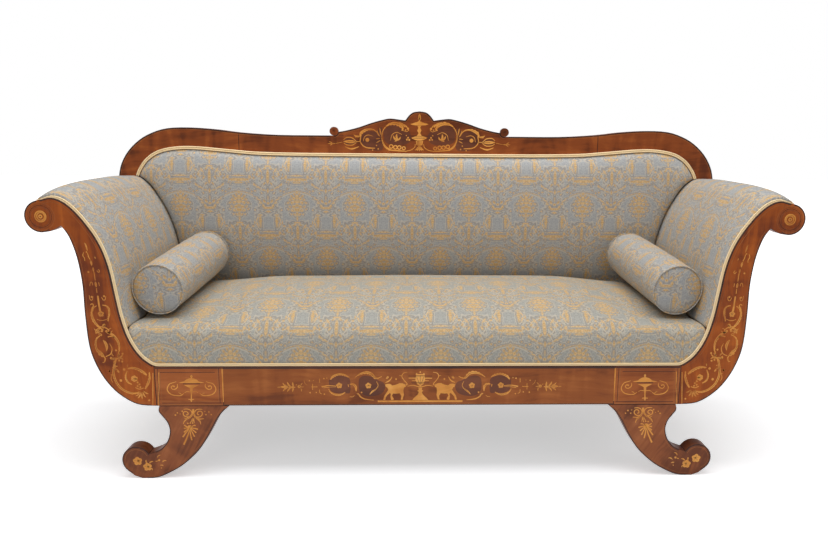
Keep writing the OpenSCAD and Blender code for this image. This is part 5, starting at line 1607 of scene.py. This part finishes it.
def stage_floor():
    m, t, shader = material("studio_floor", Roughness=0.85, Specular_IOR_Level=0.1)
    t.put(lin((250, 250, 252)), shader.inputs["Base Color"])
    path = t.tree.nodes.new("ShaderNodeLightPath")
    seen = t.math("MAXIMUM", path.outputs["Is Camera Ray"], path.outputs["Is Glossy Ray"])
    away = t.step(t.vec("LENGTH", place(t), out=1), 1.6, 3.6, FLOOR_GLOW, 1.0)
    glow = t.node("ShaderNodeEmission", {"Color": (1, 1, 1, 1),
                                         "Strength": t.math("MULTIPLY", seen, away)})
    both = t.node("ShaderNodeAddShader", {0: shader.outputs[0], 1: glow})
    t.tree.links.new(both, t.tree.nodes["Material Output"].inputs[0])
    corners = [(x * FLOOR_HALF, y * FLOOR_HALF, 0) for x, y in ((-1, -1), (1, -1), (1, 1), (-1, 1))]
    me = bpy.data.meshes.new("studio_floor")
    me.from_pydata(corners, [], [(0, 1, 2, 3)])
    me.materials.append(m)
    ob = bpy.data.objects.new("studio_floor", me)
    bpy.context.scene.collection.objects.link(ob)


stage_floor()


def lamp(name, place_at, look_at, size, power):
    data = bpy.data.lights.new(name, "AREA")
    data.shape = "RECTANGLE"
    data.size, data.size_y = size
    data.energy = power
    ob = bpy.data.objects.new(name, data)
    ob.location = place_at
    ob.rotation_euler = (Vector(look_at) - Vector(place_at)).to_track_quat("-Z", "Y").to_euler()
    bpy.context.scene.collection.objects.link(ob)


lamp("overhead_light", (0, -0.5, 3.3), (0, 0.0, 0.4), (3.4, 2.0), 86)
lamp("front_light", (-1.6, -3.6, 2.2), (0, 0, 0.5), (2.4, 1.8), 13)
lamp("right_light", (2.8, -2.2, 1.9), (0.2, 0, 0.5), (1.6, 1.6), 6)

world = bpy.data.worlds.new("studio")
bpy.context.scene.world = world
world.use_nodes = True
wt = Tree(world.node_tree)
back = world.node_tree.nodes["Background"]
path = wt.tree.nodes.new("ShaderNodeLightPath")
seen = wt.math("MAXIMUM", path.outputs["Is Camera Ray"], path.outputs["Is Transmission Ray"])
back.inputs["Color"].default_value = (1, 1, 1, 1)
strength = wt.node("ShaderNodeMapRange", {0: seen, 1: 0.0, 2: 1.0, 3: WORLD_LIGHT, 4: 1.0})
wt.put(strength, back.inputs["Strength"])

# Fitted to the photograph, angles in radians
CAM_AT = (-0.021, -2.371, 1.023)
CAM_YAW, CAM_PITCH, CAM_ROLL = 0.0299, 0.1949, 0.0078
FOCAL_PX, WIDTH_PX, CENTRE_SHIFT_PX = 731.2, 828, 20.8
SENSOR = 36.0


def make_camera():
    level = math.cos(CAM_PITCH)
    forward = Vector((math.sin(CAM_YAW) * level, math.cos(CAM_YAW) * level, -math.sin(CAM_PITCH)))
    right = Vector((math.cos(CAM_YAW), -math.sin(CAM_YAW), 0))
    up = right.cross(forward)
    right, up = (right * math.cos(CAM_ROLL) + up * math.sin(CAM_ROLL),
                 up * math.cos(CAM_ROLL) - right * math.sin(CAM_ROLL))
    data = bpy.data.cameras.new("camera")
    data.sensor_width = SENSOR
    data.lens = FOCAL_PX / WIDTH_PX * SENSOR
    data.shift_x = -CENTRE_SHIFT_PX / WIDTH_PX
    data.clip_end = 100
    ob = bpy.data.objects.new("camera", data)
    basis = Matrix((right, up, -forward)).transposed().to_4x4()
    ob.matrix_world = Matrix.Translation(CAM_AT) @ basis
    bpy.context.scene.collection.objects.link(ob)
    bpy.context.scene.camera = ob


make_camera()
bpy.context.scene.view_settings.view_transform = "Standard"
